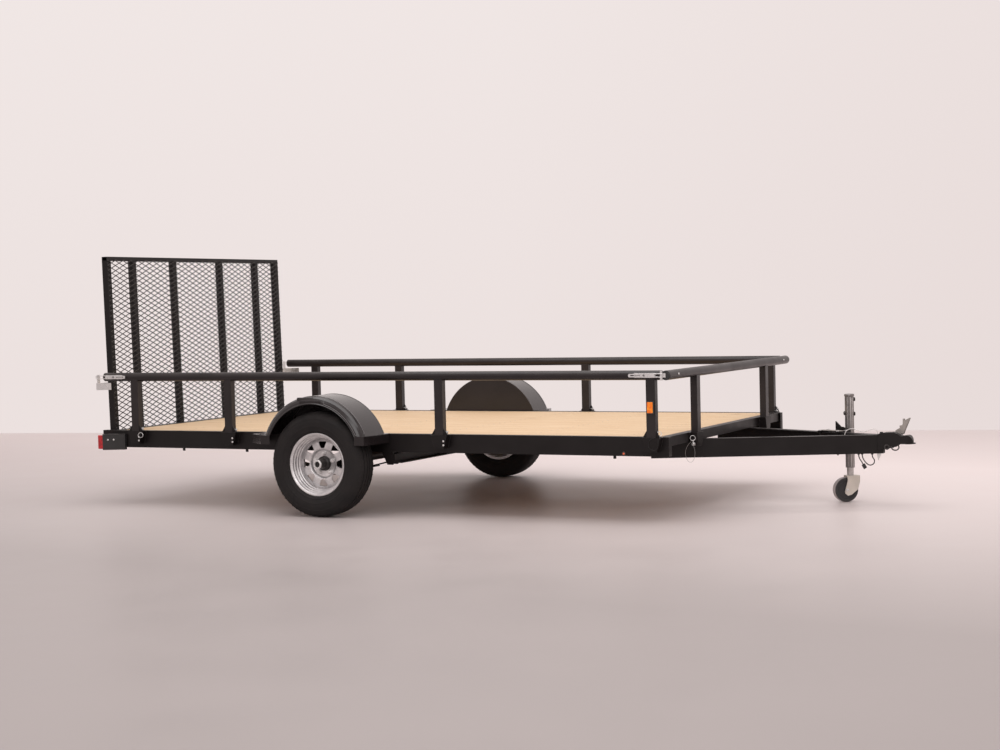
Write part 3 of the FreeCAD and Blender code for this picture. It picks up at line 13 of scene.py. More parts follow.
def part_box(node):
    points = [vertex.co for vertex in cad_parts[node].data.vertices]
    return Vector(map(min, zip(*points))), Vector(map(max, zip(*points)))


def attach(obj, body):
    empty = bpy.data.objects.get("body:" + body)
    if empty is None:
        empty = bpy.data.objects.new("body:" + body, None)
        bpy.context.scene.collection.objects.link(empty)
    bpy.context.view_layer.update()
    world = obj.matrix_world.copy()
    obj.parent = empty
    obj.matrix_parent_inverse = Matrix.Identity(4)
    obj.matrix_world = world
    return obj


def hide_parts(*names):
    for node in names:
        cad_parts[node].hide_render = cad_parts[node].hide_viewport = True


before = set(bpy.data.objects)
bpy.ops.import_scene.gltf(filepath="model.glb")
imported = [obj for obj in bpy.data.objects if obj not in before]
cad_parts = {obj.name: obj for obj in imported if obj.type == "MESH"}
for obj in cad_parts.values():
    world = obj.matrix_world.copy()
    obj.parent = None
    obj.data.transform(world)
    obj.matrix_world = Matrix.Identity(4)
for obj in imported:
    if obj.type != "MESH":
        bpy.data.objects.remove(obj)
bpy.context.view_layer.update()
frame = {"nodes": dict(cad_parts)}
LOG = logging.getLogger("trailer")

CAD_SLOTS = {name: node.data.materials[0].name.split(".")[0] for name, node in frame["nodes"].items()}
for plain in list(bpy.data.materials):
    plain.name = "cad_" + plain.name

Flat = tuple[float, float]
Point = tuple[float, float, float]
Colour = tuple[float, float, float]
Piece = bpy.types.Object
Finish = bpy.types.Material
Tree = bpy.types.NodeTree
Node = bpy.types.Node
Socket = bpy.types.NodeSocket
MM = 0.001
MERGE = 0.02 * MM
END_FACE = 0.9


class Side(Enum):
    """Side of the trailer, with the sign of Y there."""

    LEFT = 1
    RIGHT = -1

    @property
    def word(self) -> str:
        """Ending of a node's name on this side."""
        return self.name.lower()


MIRROR = Matrix.Scale(-1, 4, (0, 1, 0))


# Modelling bench
def only(piece: Piece) -> Piece:
    """Makes a piece the one selected and active object.

    Args:
        piece: the object to select.

    Returns:
        The same object.
    """
    for other in list(bpy.context.selected_objects):
        other.select_set(False)
    piece.select_set(True)
    bpy.context.view_layer.objects.active = piece
    return piece


def nothing() -> None:
    """Deselects every object, so that an operator acts on new geometry alone."""
    for other in list(bpy.context.selected_objects):
        other.select_set(False)
    bpy.context.view_layer.objects.active = None


def named(name: str) -> Piece:
    """Names the active object and its mesh.

    Args:
        name: plain name of the piece.

    Returns:
        The active object.
    """
    piece = bpy.context.view_layer.objects.active
    piece.name = name
    piece.data.name = name
    return piece


@contextlib.contextmanager
def editing(piece: Piece) -> Iterator[None]:
    """Opens a piece in edit mode with all of it selected, and closes it after the block.

    Args:
        piece: the object to edit.

    Yields:
        Once, while the piece is open.
    """
    only(piece)
    bpy.ops.object.mode_set(mode="EDIT")
    bpy.ops.mesh.select_all(action="SELECT")
    yield
    bpy.ops.object.mode_set(mode="OBJECT")


def settle(piece: Piece) -> Piece:
    """Applies a piece's place, turn and size to its mesh.

    Args:
        piece: the object to settle at the origin.

    Returns:
        The same object.
    """
    only(piece)
    bpy.ops.object.transform_apply(location=True, rotation=True, scale=True)
    return piece


def block(name: str, low: Point, high: Point, bevel: float = 0.0, segments: int = 2) -> Piece:
    """Adds a block between two corners with its edges bevelled.

    Args:
        name: name of the piece.
        low: lowest corner in metres.
        high: highest corner in metres.
        bevel: width of the rounded edges.
        segments: steps in each rounded edge.

    Returns:
        The new object, settled at the origin.
    """
    nothing()
    centre = [(a + b) / 2 for a, b in zip(low, high)]
    bpy.ops.mesh.primitive_cube_add(size=1.0, location=centre)
    piece = named(name)
    piece.scale = [abs(b - a) for a, b in zip(low, high)]
    settle(piece)
    if bevel > 0:
        with editing(piece):
            bpy.ops.mesh.bevel(offset=bevel, segments=segments, affect="EDGES")
    return piece


def facing(direction: Sequence[float]) -> Matrix:
    """Turn that takes +Z to a direction."""
    return Vector((0, 0, 1)).rotation_difference(Vector(direction)).to_matrix().to_4x4()


def bar(name: str, start: Sequence[float], end: Sequence[float], radius: float, sides: int = 16,
        bevel: float = 0.0) -> Piece:
    """Adds a round bar between two points.

    Args:
        name: name of the piece.
        start: one end in metres.
        end: other end in metres.
        radius: radius of the bar.
        sides: faces around it.
        bevel: rounding of the end edges.

    Returns:
        The new object, settled and shaded smooth.
    """
    nothing()
    a, b = Vector(start), Vector(end)
    bpy.ops.mesh.primitive_cylinder_add(vertices=sides, radius=radius, depth=(b - a).length)
    piece = named(name)
    if bevel > 0:
        with editing(piece):
            bpy.ops.mesh.select_all(action="DESELECT")
            pick_faces(piece, lambda face: abs(face.normal.z) > END_FACE)
            bpy.ops.mesh.bevel(offset=bevel, segments=2, affect="EDGES")
    piece.data.transform(Matrix.Translation((a + b) / 2) @ facing(b - a))
    return smooth(piece)


def pick_faces(piece: Piece, wanted: Callable[[bmesh.types.BMFace], bool]) -> None:
    """Selects the faces of the piece in edit mode that pass a test.

    Args:
        piece: object in edit mode.
        wanted: test on a face.
    """
    mesh = bmesh.from_edit_mesh(piece.data)
    for face in mesh.faces:
        face.select = bool(wanted(face))
    mesh.select_flush_mode()
    bmesh.update_edit_mesh(piece.data)


def smooth(piece: Piece, degrees: float = 35.0) -> Piece:
    """Shades a piece smooth up to an angle.

    Args:
        piece: the object.
        degrees: largest angle that still looks round.

    Returns:
        The same object.
    """
    only(piece)
    bpy.ops.object.shade_smooth_by_angle(angle=math.radians(degrees))
    return piece


def outline(name: str, points: Sequence[Point], closed: bool = True) -> Piece:
    """Draws a line of edges by extruding a point from place to place.

    Args:
        name: name of the piece.
        points: corners in metres.
        closed: whether the last corner is joined to the first.

    Returns:
        The object, which has edges alone.
    """
    nothing()
    bpy.ops.mesh.primitive_plane_add(size=MM, location=points[0])
    piece = settle(named(name))
    with editing(piece):
        bpy.ops.mesh.merge(type="CENTER")
        for before, after in zip(points, points[1:]):
            step = Vector(after) - Vector(before)
            bpy.ops.mesh.extrude_region_move(TRANSFORM_OT_translate={"value": step})
        if closed:
            mesh = bmesh.from_edit_mesh(piece.data)
            for vert in mesh.verts:
                vert.select = len(vert.link_edges) < 2
            mesh.select_flush_mode()
            bpy.ops.mesh.edge_face_add()
    return piece


def slab(name: str, points: Sequence[Point], push: Sequence[float], bevel: float = 0.0) -> Piece:
    """Fills an outline and extrudes it to a plate.

    Args:
        name: name of the piece.
        points: corners of the outline.
        push: thickness as a vector.
        bevel: rounding of its edges.

    Returns:
        The closed plate.
    """
    piece = outline(name, points)
    with editing(piece):
        bpy.ops.mesh.edge_face_add()
        bpy.ops.mesh.select_all(action="SELECT")
        bpy.ops.mesh.extrude_region_move(TRANSFORM_OT_translate={"value": push})
        bpy.ops.mesh.select_all(action="SELECT")
        bpy.ops.mesh.normals_make_consistent(inside=False)
        if bevel > 0:
            bpy.ops.mesh.bevel(offset=bevel, segments=2, affect="EDGES")
    return piece


def turned(name: str, profile: Sequence[Flat], centre: Point, axis: Sequence[float],
           steps: int = 64, closed: bool = True) -> Piece:
    """Spins an outline of (along, radius) once round an axis.

    Args:
        name: name of the piece.
        profile: places along the axis from the centre, with their radii, in millimetres.
        centre: point on the axis in metres.
        axis: direction of the axis.
        steps: segments round the piece.
        closed: whether the outline is a closed ring.

    Returns:
        The closed body, with its faces outwards.
    """
    line = Vector(axis).normalized()
    across = line.orthogonal().normalized()
    points = [tuple(Vector(centre) + line * (a * MM) + across * (r * MM)) for a, r in profile]
    piece = outline(name, points, closed)
    with editing(piece):
        bpy.ops.mesh.spin(steps=steps, angle=2 * math.pi, center=centre, axis=line)
        bpy.ops.mesh.select_all(action="SELECT")
        bpy.ops.mesh.remove_doubles(threshold=MERGE)
        bpy.ops.mesh.normals_make_consistent(inside=False)
    return smooth(piece)


def hoop(name: str, centre: Point, axis: Sequence[float], radius: float, wire: float,
         steps: int = 40) -> Piece:
    """Adds a ring of round wire.

    Args:
        name: name of the piece.
        centre: middle of the ring.
        axis: direction through the ring.
        radius: radius to the wire's middle.
        wire: radius of the wire.
        steps: segments round the ring.

    Returns:
        The new object.
    """
    nothing()
    bpy.ops.mesh.primitive_torus_add(major_radius=radius, minor_radius=wire, major_segments=steps,
                                     minor_segments=10)
    piece = named(name)
    piece.data.transform(Matrix.Translation(centre) @ facing(axis))
    return smooth(piece, 60)


def wire(name: str, points: Sequence[Point], radius: float, order: int = 3) -> Piece:
    """Makes a curve of round wire through control points.

    Args:
        name: name of the piece.
        points: control points in metres.
        radius: radius of the wire.
        order: order of the spline, 2 for straight runs.

    Returns:
        The curve object.
    """
    curve = bpy.data.curves.new(name, "CURVE")
    curve.dimensions = "3D"
    curve.bevel_depth = radius
    curve.bevel_resolution = 3
    curve.use_fill_caps = True
    spline = curve.splines.new("NURBS")
    spline.points.add(len(points) - 1)
    for spot, place in zip(spline.points, points):
        spot.co = (*place, 1.0)
    spline.order_u = order
    spline.use_endpoint_u = True
    spline.resolution_u = 8
    piece = bpy.data.objects.new(name, curve)
    bpy.context.scene.collection.objects.link(piece)
    return piece


def as_mesh(piece: Piece) -> Piece:
    """Turns a curve into a mesh.

    Args:
        piece: the curve object.

    Returns:
        The mesh object of the same name.
    """
    only(piece)
    bpy.ops.object.convert(target="MESH")
    return smooth(bpy.context.view_layer.objects.active, 60)


def copied(piece: Piece, matrix: Matrix) -> Piece:
    """Copies a piece with a mesh of its own and moves the copy.

    Args:
        piece: object to copy.
        matrix: move to apply to the copy's mesh.

    Returns:
        The copy.
    """
    twin = piece.copy()
    twin.data = piece.data.copy()
    bpy.context.scene.collection.objects.link(twin)
    twin.data.transform(matrix)
    if matrix.determinant() < 0:
        twin.data.flip_normals()
    return twin


def joined(name: str, pieces: Sequence[Piece]) -> Piece:
    """Joins pieces to one object.

    Args:
        name: name of the whole.
        pieces: mesh objects.

    Returns:
        The joined object.
    """
    only(pieces[0])
    for piece in pieces[1:]:
        piece.select_set(True)
    if len(pieces) > 1:
        bpy.ops.object.join()
    return named(name)


# Shader nodes and finishes
class Graph:
    """Short way to add and join the nodes of one tree."""

    def __init__(self, tree: Tree) -> None:
        """Keeps the tree to fill."""
        self.tree = tree

    def fill(self, node: Node, inputs: dict) -> None:
        """Fills or links sockets of a node.

        Args:
            node: node of this tree.
            inputs: socket name or number to a value or an output socket.
        """
        for key, value in inputs.items():
            if isinstance(value, Socket):
                self.tree.links.new(value, node.inputs[key])
            else:
                node.inputs[key].default_value = value

    def add(self, kind: str, inputs: dict | None = None, **settings: object) -> Node:
        """Adds a node, sets its properties and fills or links its sockets.

        Args:
            kind: node type without the ShaderNode prefix.
            inputs: socket name or number to a value or an output socket.
            **settings: properties of the node.

        Returns:
            The node.
        """
        node = self.tree.nodes.new(kind if kind.startswith("Node") else "ShaderNode" + kind)
        for key, value in settings.items():
            setattr(node, key, value)
        self.fill(node, inputs or {})
        return node

    def place(self, scale: Point = (1.0, 1.0, 1.0)) -> Socket:
        """Object coordinates in metres, stretched."""
        spot = self.add("TexCoord").outputs["Object"]
        return self.add("Mapping", {"Vector": spot, "Scale": scale}).outputs[0]

    def noise(self, place: Socket, scale: object, detail: float = 3.0, roughness: float = 0.55) -> Socket:
        """Plain noise from 0 to 1."""
        inputs = {"Vector": place, "Scale": scale, "Detail": detail, "Roughness": roughness}
        return self.add("TexNoise", inputs).outputs["Fac"]

    def span(self, value: Socket, low: float, high: float, to_low: float = 0.0,
             to_high: float = 1.0) -> Socket:
        """Value mapped from one range to another, clamped."""
        return self.add("MapRange", {0: value, 1: low, 2: high, 3: to_low, 4: to_high}).outputs[0]

    def maths(self, operation: str, a: object, b: object = 0.0) -> Socket:
        """Result of a Math node."""
        return self.add("Math", {0: a, 1: b}, operation=operation).outputs[0]

    def blend(self, share: object, a: object, b: object) -> Socket:
        """Colour between two colours."""
        a, b = [v if isinstance(v, Socket) else (*v, 1.0) for v in (a, b)]
        return self.add("Mix", {0: share, 6: a, 7: b}, data_type="RGBA").outputs[2]

    def bump(self, height: Socket, strength: float, distance: float, edge: float = 0.0) -> Socket:
        """Normal with a height pressed into it, and with the edges rounded where they have a radius."""
        inputs = {"Strength": strength, "Distance": distance, "Height": height,
                  **({"Normal": self.add("Bevel", {"Radius": edge}, samples=4).outputs[0]} if edge else {})}
        return self.add("Bump", inputs).outputs[0]

    def group(self, tree: Tree, values: dict[str, float]) -> bpy.types.NodeOutputs:
        """Outputs of a shared effect, placed with its own values."""
        return self.add("Group", values, node_tree=tree).outputs


class Effect(Graph):
    """Shared node group of numbers, with its inputs and outputs at hand."""

    def __init__(self, name: str, inputs: dict[str, float], outputs: Sequence[str]) -> None:
        """Starts the group.

        Args:
            name: name of the effect.
            inputs: names of the number inputs with their usual values.
            outputs: names of the number outputs.
        """
        super().__init__(bpy.data.node_groups.new(name, "ShaderNodeTree"))
        sockets = self.tree.interface
        for key, value in inputs.items():
            sockets.new_socket(key, in_out="INPUT", socket_type="NodeSocketFloat").default_value = value
        for key in outputs:
            sockets.new_socket(key, in_out="OUTPUT", socket_type="NodeSocketFloat")
        self.given, self.end = self.add("NodeGroupInput").outputs, self.add("NodeGroupOutput")


class Effects:
    """Shared effects, each built once: rubbed edges, settled dust, mottle and zinc spangle."""

    def __init__(self) -> None:
        """Builds the node groups."""
        self.wear = self.rubbed_edges()
        self.dust = self.settled_dust()
        self.mottle = self.patches_and_grain()
        self.spangle = self.zinc_spangle()

    def rubbed_edges(self) -> Tree:
        """Rubbed edges, broken up by noise.

        Returns:
            The group.
        """
        g = Effect("rubbed_edges", {"Width": 0.003, "Amount": 0.5, "Grain": 60.0}, ["Mask"])
        soft = g.add("Bevel", {"Radius": g.given["Width"]}, samples=4).outputs[0]
        flat = g.add("NewGeometry").outputs["Normal"]
        alike = g.add("VectorMath", {0: soft, 1: flat}, operation="DOT_PRODUCT").outputs["Value"]
        grain = g.noise(g.place(), g.given["Grain"], 4.0, 0.5)
        mask = g.maths("MULTIPLY", g.span(alike, 0.995, 0.85), g.span(grain, 0.5, 0.68))
        g.fill(g.end, {"Mask": g.maths("MULTIPLY", mask, g.given["Amount"])})
        return g.tree

    def settled_dust(self) -> Tree:
        """Thin dust that lies on what faces up.

        Returns:
            The group.
        """
        g = Effect("settled_dust", {"Amount": 0.3, "Scale": 9.0}, ["Mask"])
        up = g.add("SeparateXYZ", {0: g.add("NewGeometry").outputs["Normal"]}).outputs["Z"]
        cloud = g.noise(g.place(), g.given["Scale"], 5.0, 0.5)
        mask = g.maths("MULTIPLY", g.span(up, 0.2, 1.0), g.span(cloud, 0.35, 0.75))
        g.fill(g.end, {"Mask": g.maths("MULTIPLY", mask, g.given["Amount"])})
        return g.tree

    def patches_and_grain(self) -> Tree:
        """Soft uneven patches with a finer grain over them.

        Returns:
            The group.
        """
        g = Effect("mottle", {"Patch": 6.0, "Grain": 240.0}, ["Patches", "Grain"])
        patch = g.noise(g.place(), g.given["Patch"], 3.0, 0.5)
        grain = g.noise(g.place(), g.given["Grain"], 2.0, 0.5)
        g.fill(g.end, {"Patches": g.span(patch, 0.3, 0.7), "Grain": grain})
        return g.tree

    def zinc_spangle(self) -> Tree:
        """Crystal patches of a hot-dipped zinc coat.

        Returns:
            The group.
        """
        g = Effect("zinc_spangle", {"Scale": 160.0}, ["Tone"])
        cell = g.add("TexVoronoi", {"Vector": g.place(), "Scale": g.given["Scale"]}).outputs["Color"]
        g.fill(g.end, {"Tone": g.add("SeparateXYZ", {0: cell}).outputs["X"]})
        return g.tree


EFFECTS = Effects()


def material(name: str) -> tuple[Finish, Graph, Node]:
    """Starts a material with its Principled shader.

    Args:
        name: name of the finish.

    Returns:
        The material, its graph and the shader node.
    """
    made = bpy.data.materials.new(name)
    made.use_nodes = True
    return made, Graph(made.node_tree), made.node_tree.nodes["Principled BSDF"]


def wired(graph: Graph, shader: Node, **sockets: object) -> None:
    """Fills or links sockets of the shader, with _ for a space in a name."""
    graph.fill(shader, {key.replace("_", " "): (*value, 1.0) if isinstance(value, tuple) else value
                        for key, value in sockets.items()})


@dataclass(frozen=True)
class Paint:
    """Satin paint on steel, with orange peel, patches, dust and rubbed edges."""

    name: str
    colour: Colour
    bare: Colour = (0.30, 0.28, 0.27)
    dusty: Colour = (0.42, 0.38, 0.35)
    roughness: float = 0.42
    patchiness: float = 0.12
    wear: float = 0.25
    dust: float = 0.10
    peel: float = 0.00012
    coat: float = 0.0
    shine: float = 0.35

    def build(self) -> Finish:
        """Builds the material.

        Returns:
            The paint.
        """
        made, g, shader = material(self.name)
        mottle = g.group(EFFECTS.mottle, {"Patch": 7.0, "Grain": 420.0})
        wear = g.group(EFFECTS.wear, {"Width": 0.0022, "Amount": self.wear, "Grain": 45.0})["Mask"]
        dust = g.group(EFFECTS.dust, {"Amount": self.dust, "Scale": 5.0})["Mask"]
        lighter = tuple(c * 1.6 + 0.003 for c in self.colour)
        base = g.blend(g.span(mottle["Patches"], 0.0, 1.0, 0.0, 0.5), self.colour, lighter)
        base = g.blend(wear, g.blend(dust, base, self.dusty), self.bare)
        half = self.patchiness / 2
        rough = g.span(mottle["Patches"], 0.0, 1.0, self.roughness - half, self.roughness + half)
        rough = g.maths("ADD", rough, g.maths("MULTIPLY", dust, 0.5))
        bump = g.bump(mottle["Grain"], 0.35, self.peel, 0.0012)
        wired(g, shader, Base_Color=base, Roughness=rough, Normal=bump, Coat_Weight=self.coat,
              Coat_Roughness=0.25, Specular_IOR_Level=self.shine)
        return made


@dataclass(frozen=True)
class Zinc:
    """Galvanised or zinc-plated steel with spangle and fine scratches."""

    name: str
    light: Colour = (0.66, 0.67, 0.67)
    dark: Colour = (0.46, 0.47, 0.475)
    roughness: float = 0.40
    spangle: float = 140.0
    metallic: float = 0.85
    rubbed: Colour = (0.82, 0.82, 0.81)

    def build(self) -> Finish:
        """Builds the material.

        Returns:
            The zinc coat.
        """
        made, g, shader = material(self.name)
        tone = g.group(EFFECTS.spangle, {"Scale": self.spangle})["Tone"]
        mottle = g.group(EFFECTS.mottle, {"Patch": 26.0, "Grain": 900.0})
        wear = g.group(EFFECTS.wear, {"Width": 0.0015, "Amount": 0.5, "Grain": 80.0})["Mask"]
        mixed = g.maths("ADD", g.maths("MULTIPLY", tone, 0.35), g.maths("MULTIPLY", mottle["Patches"], 0.65))
        base = g.blend(wear, g.blend(mixed, self.light, self.dark), self.rubbed)
        rough = g.span(mixed, 0.0, 1.0, self.roughness - 0.08, self.roughness + 0.12)
        bump = g.bump(mottle["Grain"], 0.2, 0.0001, 0.0008)
        wired(g, shader, Base_Color=base, Roughness=rough, Normal=bump, Metallic=self.metallic)
        return made


@dataclass(frozen=True)
class Timber:
    """Planed softwood boards that run along X, with grain, knots and a tone for each board."""

    name: str
    pitch: float
    first_edge: float
    light: Colour = (0.77, 0.57, 0.365)
    dark: Colour = (0.59, 0.375, 0.20)
    knot: Colour = (0.27, 0.13, 0.055)
    tint: Colour = (0.66, 0.45, 0.25)

    def build(self) -> Finish:
        """Builds the material.

        Returns:
            The wood.
        """
        made, g, shader = material(self.name)
        spot = g.add("SeparateXYZ", {0: g.add("TexCoord").outputs["Object"]}).outputs
        board = g.maths("DIVIDE", g.maths("SUBTRACT", spot["Y"], self.first_edge), self.pitch)
        tint = g.add("TexWhiteNoise", {"W": g.maths("FLOOR", board)}, noise_dimensions="1D").outputs["Value"]
        along = g.maths("ADD", spot["X"], g.maths("MULTIPLY", tint, 37.0))
        fibre_line = self.line(g, spot, along, 0.05)
        fibre, streak = g.noise(fibre_line, 420.0, 3.0, 0.6), g.noise(fibre_line, 60.0, 4.0, 0.6)
        grain = g.maths("ADD", g.maths("MULTIPLY", g.span(self.rings(g, spot, along), 0.35, 1.0), 0.42),
                        g.maths("MULTIPLY", g.span(streak, 0.42, 0.75), 0.70))
        grain = g.maths("ADD", grain, g.maths("MULTIPLY", g.span(fibre, 0.45, 0.8), 0.20))
        knots, halos = self.knots(g, spot, along)
        base = g.blend(grain, self.light, self.dark)
        base = g.blend(g.maths("MULTIPLY", halos, 0.42), base, self.dark)
        base = g.blend(g.maths("MULTIPLY", knots, 0.85), base, self.knot)
        base = g.blend(g.span(tint, 0.0, 1.0, 0.0, 0.22), base, self.tint)
        bump = g.bump(g.maths("SUBTRACT", fibre, g.maths("MULTIPLY", knots, 0.4)), 0.35, 0.0004)
        rough = g.span(grain, 0.0, 1.0, 0.56, 0.74)
        wired(g, shader, Base_Color=base, Roughness=rough, Normal=bump, Specular_IOR_Level=0.35)
        return made

    def line(self, g: Graph, spot: bpy.types.NodeOutputs, along: Socket, share: float) -> Socket:
        """Coordinates drawn out along the board."""
        parts = {0: g.maths("MULTIPLY", along, share), 1: spot["Y"], 2: spot["Z"]}
        return g.add("CombineXYZ", parts).outputs[0]

    def rings(self, g: Graph, spot: bpy.types.NodeOutputs, along: Socket) -> Socket:
        """Growth rings, drawn out along the board.

        Args:
            g: graph of the material.
            spot: coordinates apart.
            along: place along the board, with a shift of its own for each board.

        Returns:
            The rings from 0 to 1.
        """
        line = self.line(g, spot, along, 0.55)
        inputs = {"Vector": line, "Scale": 9.0, "Distortion": 7.0, "Detail": 3.0, "Detail Scale": 1.1,
                  "Phase Offset": g.maths("MULTIPLY", g.noise(line, 3.2, 3.0), 9.0)}
        return g.add("TexWave", inputs, bands_direction="Y", wave_profile="SAW").outputs["Fac"]

    def knots(self, g: Graph, spot: bpy.types.NodeOutputs, along: Socket) -> tuple[Socket, Socket]:
        """Rare knots.

        Args:
            g: graph of the material.
            spot: coordinates apart.
            along: place along the board, with a shift of its own for each board.

        Returns:
            The knots and the darker wood round them.
        """
        line = {0: g.maths("MULTIPLY", along, 1.9), 1: g.maths("MULTIPLY", spot["Y"], 4.2), 2: 0.0}
        cell = g.add("TexVoronoi", {"Vector": g.add("CombineXYZ", line).outputs[0], "Scale": 1.0,
                                    "Randomness": 1.0}).outputs
        chosen = g.maths("GREATER_THAN", g.add("SeparateXYZ", {0: cell["Color"]}).outputs["X"], 0.45)
        near = g.span(cell["Distance"], 0.035, 0.085, 1.0, 0.0)
        halo = g.span(cell["Distance"], 0.05, 0.26, 1.0, 0.0)
        return g.maths("MULTIPLY", near, chosen), g.maths("MULTIPLY", halo, chosen)


@dataclass(frozen=True)
class Rubber:
    """Matt black rubber with a brownish bloom and dust in its lows."""

    name: str
    colour: Colour = (0.010, 0.009, 0.0092)
    bloom: Colour = (0.030, 0.025, 0.024)
    dusty: Colour = (0.30, 0.27, 0.25)
    roughness: float = 0.74

    def build(self) -> Finish:
        """Builds the material.

        Returns:
            The rubber.
        """
        made, g, shader = material(self.name)
        mottle = g.group(EFFECTS.mottle, {"Patch": 11.0, "Grain": 700.0})
        dust = g.group(EFFECTS.dust, {"Amount": 0.12, "Scale": 14.0})["Mask"]
        base = g.blend(g.span(mottle["Patches"], 0.1, 1.0, 0.0, 0.6), self.colour, self.bloom)
        rough = g.span(mottle["Patches"], 0.0, 1.0, self.roughness - 0.1, self.roughness + 0.12)
        wired(g, shader, Base_Color=g.blend(dust, base, self.dusty), Roughness=rough,
              Normal=g.bump(mottle["Grain"], 0.4, 0.0003), Specular_IOR_Level=0.28)
        return made


@dataclass(frozen=True)
class Lens:
    """Moulded lamp lens with fine prism ribs behind a clear skin."""

    name: str
    colour: Colour
    deep: Colour
    glow: Colour = (0.0, 0.0, 0.0)
    waves: Sequence[tuple[str, float]] = (("Z", 520 / 6.28), ("X", 520 / 12))

    def build(self) -> Finish:
        """Builds the material.

        Returns:
            The lens.
        """
        made, g, shader = material(self.name)
        ribs, across = (g.add("TexWave", {"Vector": g.place(), "Scale": scale, "Distortion": 0.0},
                              bands_direction=way).outputs["Fac"] for way, scale in self.waves)
        grid = g.maths("MULTIPLY", ribs, across)
        patches = g.noise(g.place(), 55.0, 2.0)
        base = g.blend(g.span(patches, 0.35, 0.65), self.deep, self.colour)
        base = g.blend(g.maths("MULTIPLY", grid, 0.35), base, self.deep)
        wired(g, shader, Base_Color=base, Roughness=0.16, Normal=g.bump(grid, 0.5, 0.0005), Coat_Weight=0.6,
              Coat_Roughness=0.06, Emission_Color=self.glow, Emission_Strength=1.0 if any(self.glow) else 0.0)
        return made


@dataclass(frozen=True)
class Moulding:
    """Moulded black or grey plastic with a fine grain."""

    name: str
    colour: Colour
    roughness: float = 0.5

    def build(self) -> Finish:
        """Builds the material.

        Returns:
            The plastic.
        """
        made, g, shader = material(self.name)
        mottle = g.group(EFFECTS.mottle, {"Patch": 30.0, "Grain": 1300.0})
        lighter = tuple(c * 1.35 + 0.006 for c in self.colour)
        base = g.blend(g.span(mottle["Patches"], 0.0, 1.0, 0.0, 0.6), self.colour, lighter)
        rough = g.span(mottle["Patches"], 0.0, 1.0, self.roughness - 0.07, self.roughness + 0.07)
        wired(g, shader, Base_Color=base, Roughness=rough, Normal=g.bump(mottle["Grain"], 0.3, 0.0002))
        return made


@dataclass
class Finishes:
    """Every finish of the trailer, built once under its own name."""

    board_pitch: float
    board_edge: float

    def __post_init__(self) -> None:
        """Builds the materials."""
        for finish in (
                Paint("frame_black", (0.0060, 0.0043, 0.0043), shine=0.28),
                Paint("rail_black", (0.0135, 0.0098, 0.0100), roughness=0.36, shine=0.42),
                Paint("fender_black", (0.0085, 0.0058, 0.0062), roughness=0.20, patchiness=0.06, wear=0.08,
                      dust=0.05, coat=0.45, peel=0.00006),
                # The bead paint is a lighter copy of the fender's black paint: a painted highlight on the
                # pressed beads and the rolled lip.
                Paint("fender_bead", (0.050, 0.044, 0.044), roughness=0.18, wear=0.6, coat=0.8),
                # The edge paint is a lighter copy of the black paint with heavier rubbed edges: a painted
                # highlight on folded edges and small rings.
                Paint("edge_black", (0.030, 0.025, 0.024), roughness=0.36, wear=0.8),
                # The gate mesh's two strand families share one black paint: one copy is painted lighter as
                # the lit family, the other darker as painted shade.
                Paint("mesh_black", (0.030, 0.026, 0.026), roughness=0.5, wear=0.12, shine=0.45),
                Paint("mesh_dark", (0.008, 0.006, 0.006), roughness=0.5, wear=0.12, shine=0.25),
                Timber("deck_wood", self.board_pitch, self.board_edge),
                Rubber("tyre"),
                Zinc("galvanised", (0.79, 0.775, 0.775), (0.55, 0.54, 0.545), metallic=0.78),
                Zinc("mid_zinc", (0.60, 0.575, 0.56), (0.42, 0.40, 0.39), 0.38, 120.0),
                Zinc("dark_zinc", (0.29, 0.268, 0.26), (0.17, 0.157, 0.152), 0.34, 110.0, 0.7),
                Zinc("lanyard_grey", (0.42, 0.41, 0.40), (0.30, 0.29, 0.285), 0.36, 900.0),
                Zinc("zinc", (0.86, 0.85, 0.84), (0.66, 0.65, 0.645), 0.30, 320.0, 0.65),
                Zinc("cast_zinc", (0.43, 0.40, 0.37), (0.27, 0.25, 0.235), 0.48, 90.0, 0.75),
                Paint("hub_dark", (0.016, 0.014, 0.013), roughness=0.38, wear=0.4),
                Lens("lens_red", (0.62, 0.016, 0.020), (0.34, 0.006, 0.010), (0.035, 0.0, 0.001)),
                Lens("lens_amber", (1.0, 0.36, 0.020), (0.80, 0.13, 0.010), (0.16, 0.040, 0.0)),
                Lens("lens_deep", (0.80, 0.13, 0.03), (0.50, 0.05, 0.02), (0.05, 0.008, 0.0)),
                Moulding("lamp_black", (0.020, 0.019, 0.019)),
                Paint("caster_grey", (0.62, 0.565, 0.50), bare=(0.66, 0.62, 0.57), roughness=0.5, wear=0.4,
                      dust=0.15),
                Moulding("caster_tread", (0.33, 0.285, 0.28), 0.55),
                Moulding("white_cable", (0.72, 0.68, 0.66), 0.45),
                Moulding("caster_black", (0.028, 0.027, 0.027), 0.6),
                Moulding("cable_black", (0.014, 0.013, 0.013), 0.42)):
            setattr(self, finish.name, finish.build())


def dress(piece: Piece, finish: Finish) -> Piece:
    """Gives a piece one finish all over.

    Args:
        piece: object with a mesh or a curve.
        finish: its material.

    Returns:
        The same object.
    """
    piece.data.materials.clear()
    piece.data.materials.append(finish)
    return piece


def report(piece: Piece, body: str) -> Piece:
    """Fixes a piece on its body and notes it.

    Args:
        piece: finished object.
        body: name of the body that carries it.

    Returns:
        The same object.
    """
    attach(piece, body)
    LOG.info("%s rides on %s", piece.name, body)
    return piece


# Places on the trailer
Spot = Callable[[float, float, float], Point]
Rod = tuple[Point, Point, float, int, float]
Box = tuple[Point, Point, float, int]
Ring = tuple[Point, Point, float, float]


def middle(node: str) -> Vector:
    """Middle of a CAD node's box, in metres."""
    low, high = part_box(node)
    return (Vector(low) + Vector(high)) / 2


AXLE_X = middle("tyre_left").x / MM
BOARDS = 13
BOARD_GAP = 4.0 * MM
STAKES = (-1376.0, -705.0, 682.0, 1925.0)
RIGHT = (0.0, -1.0, 0.0)


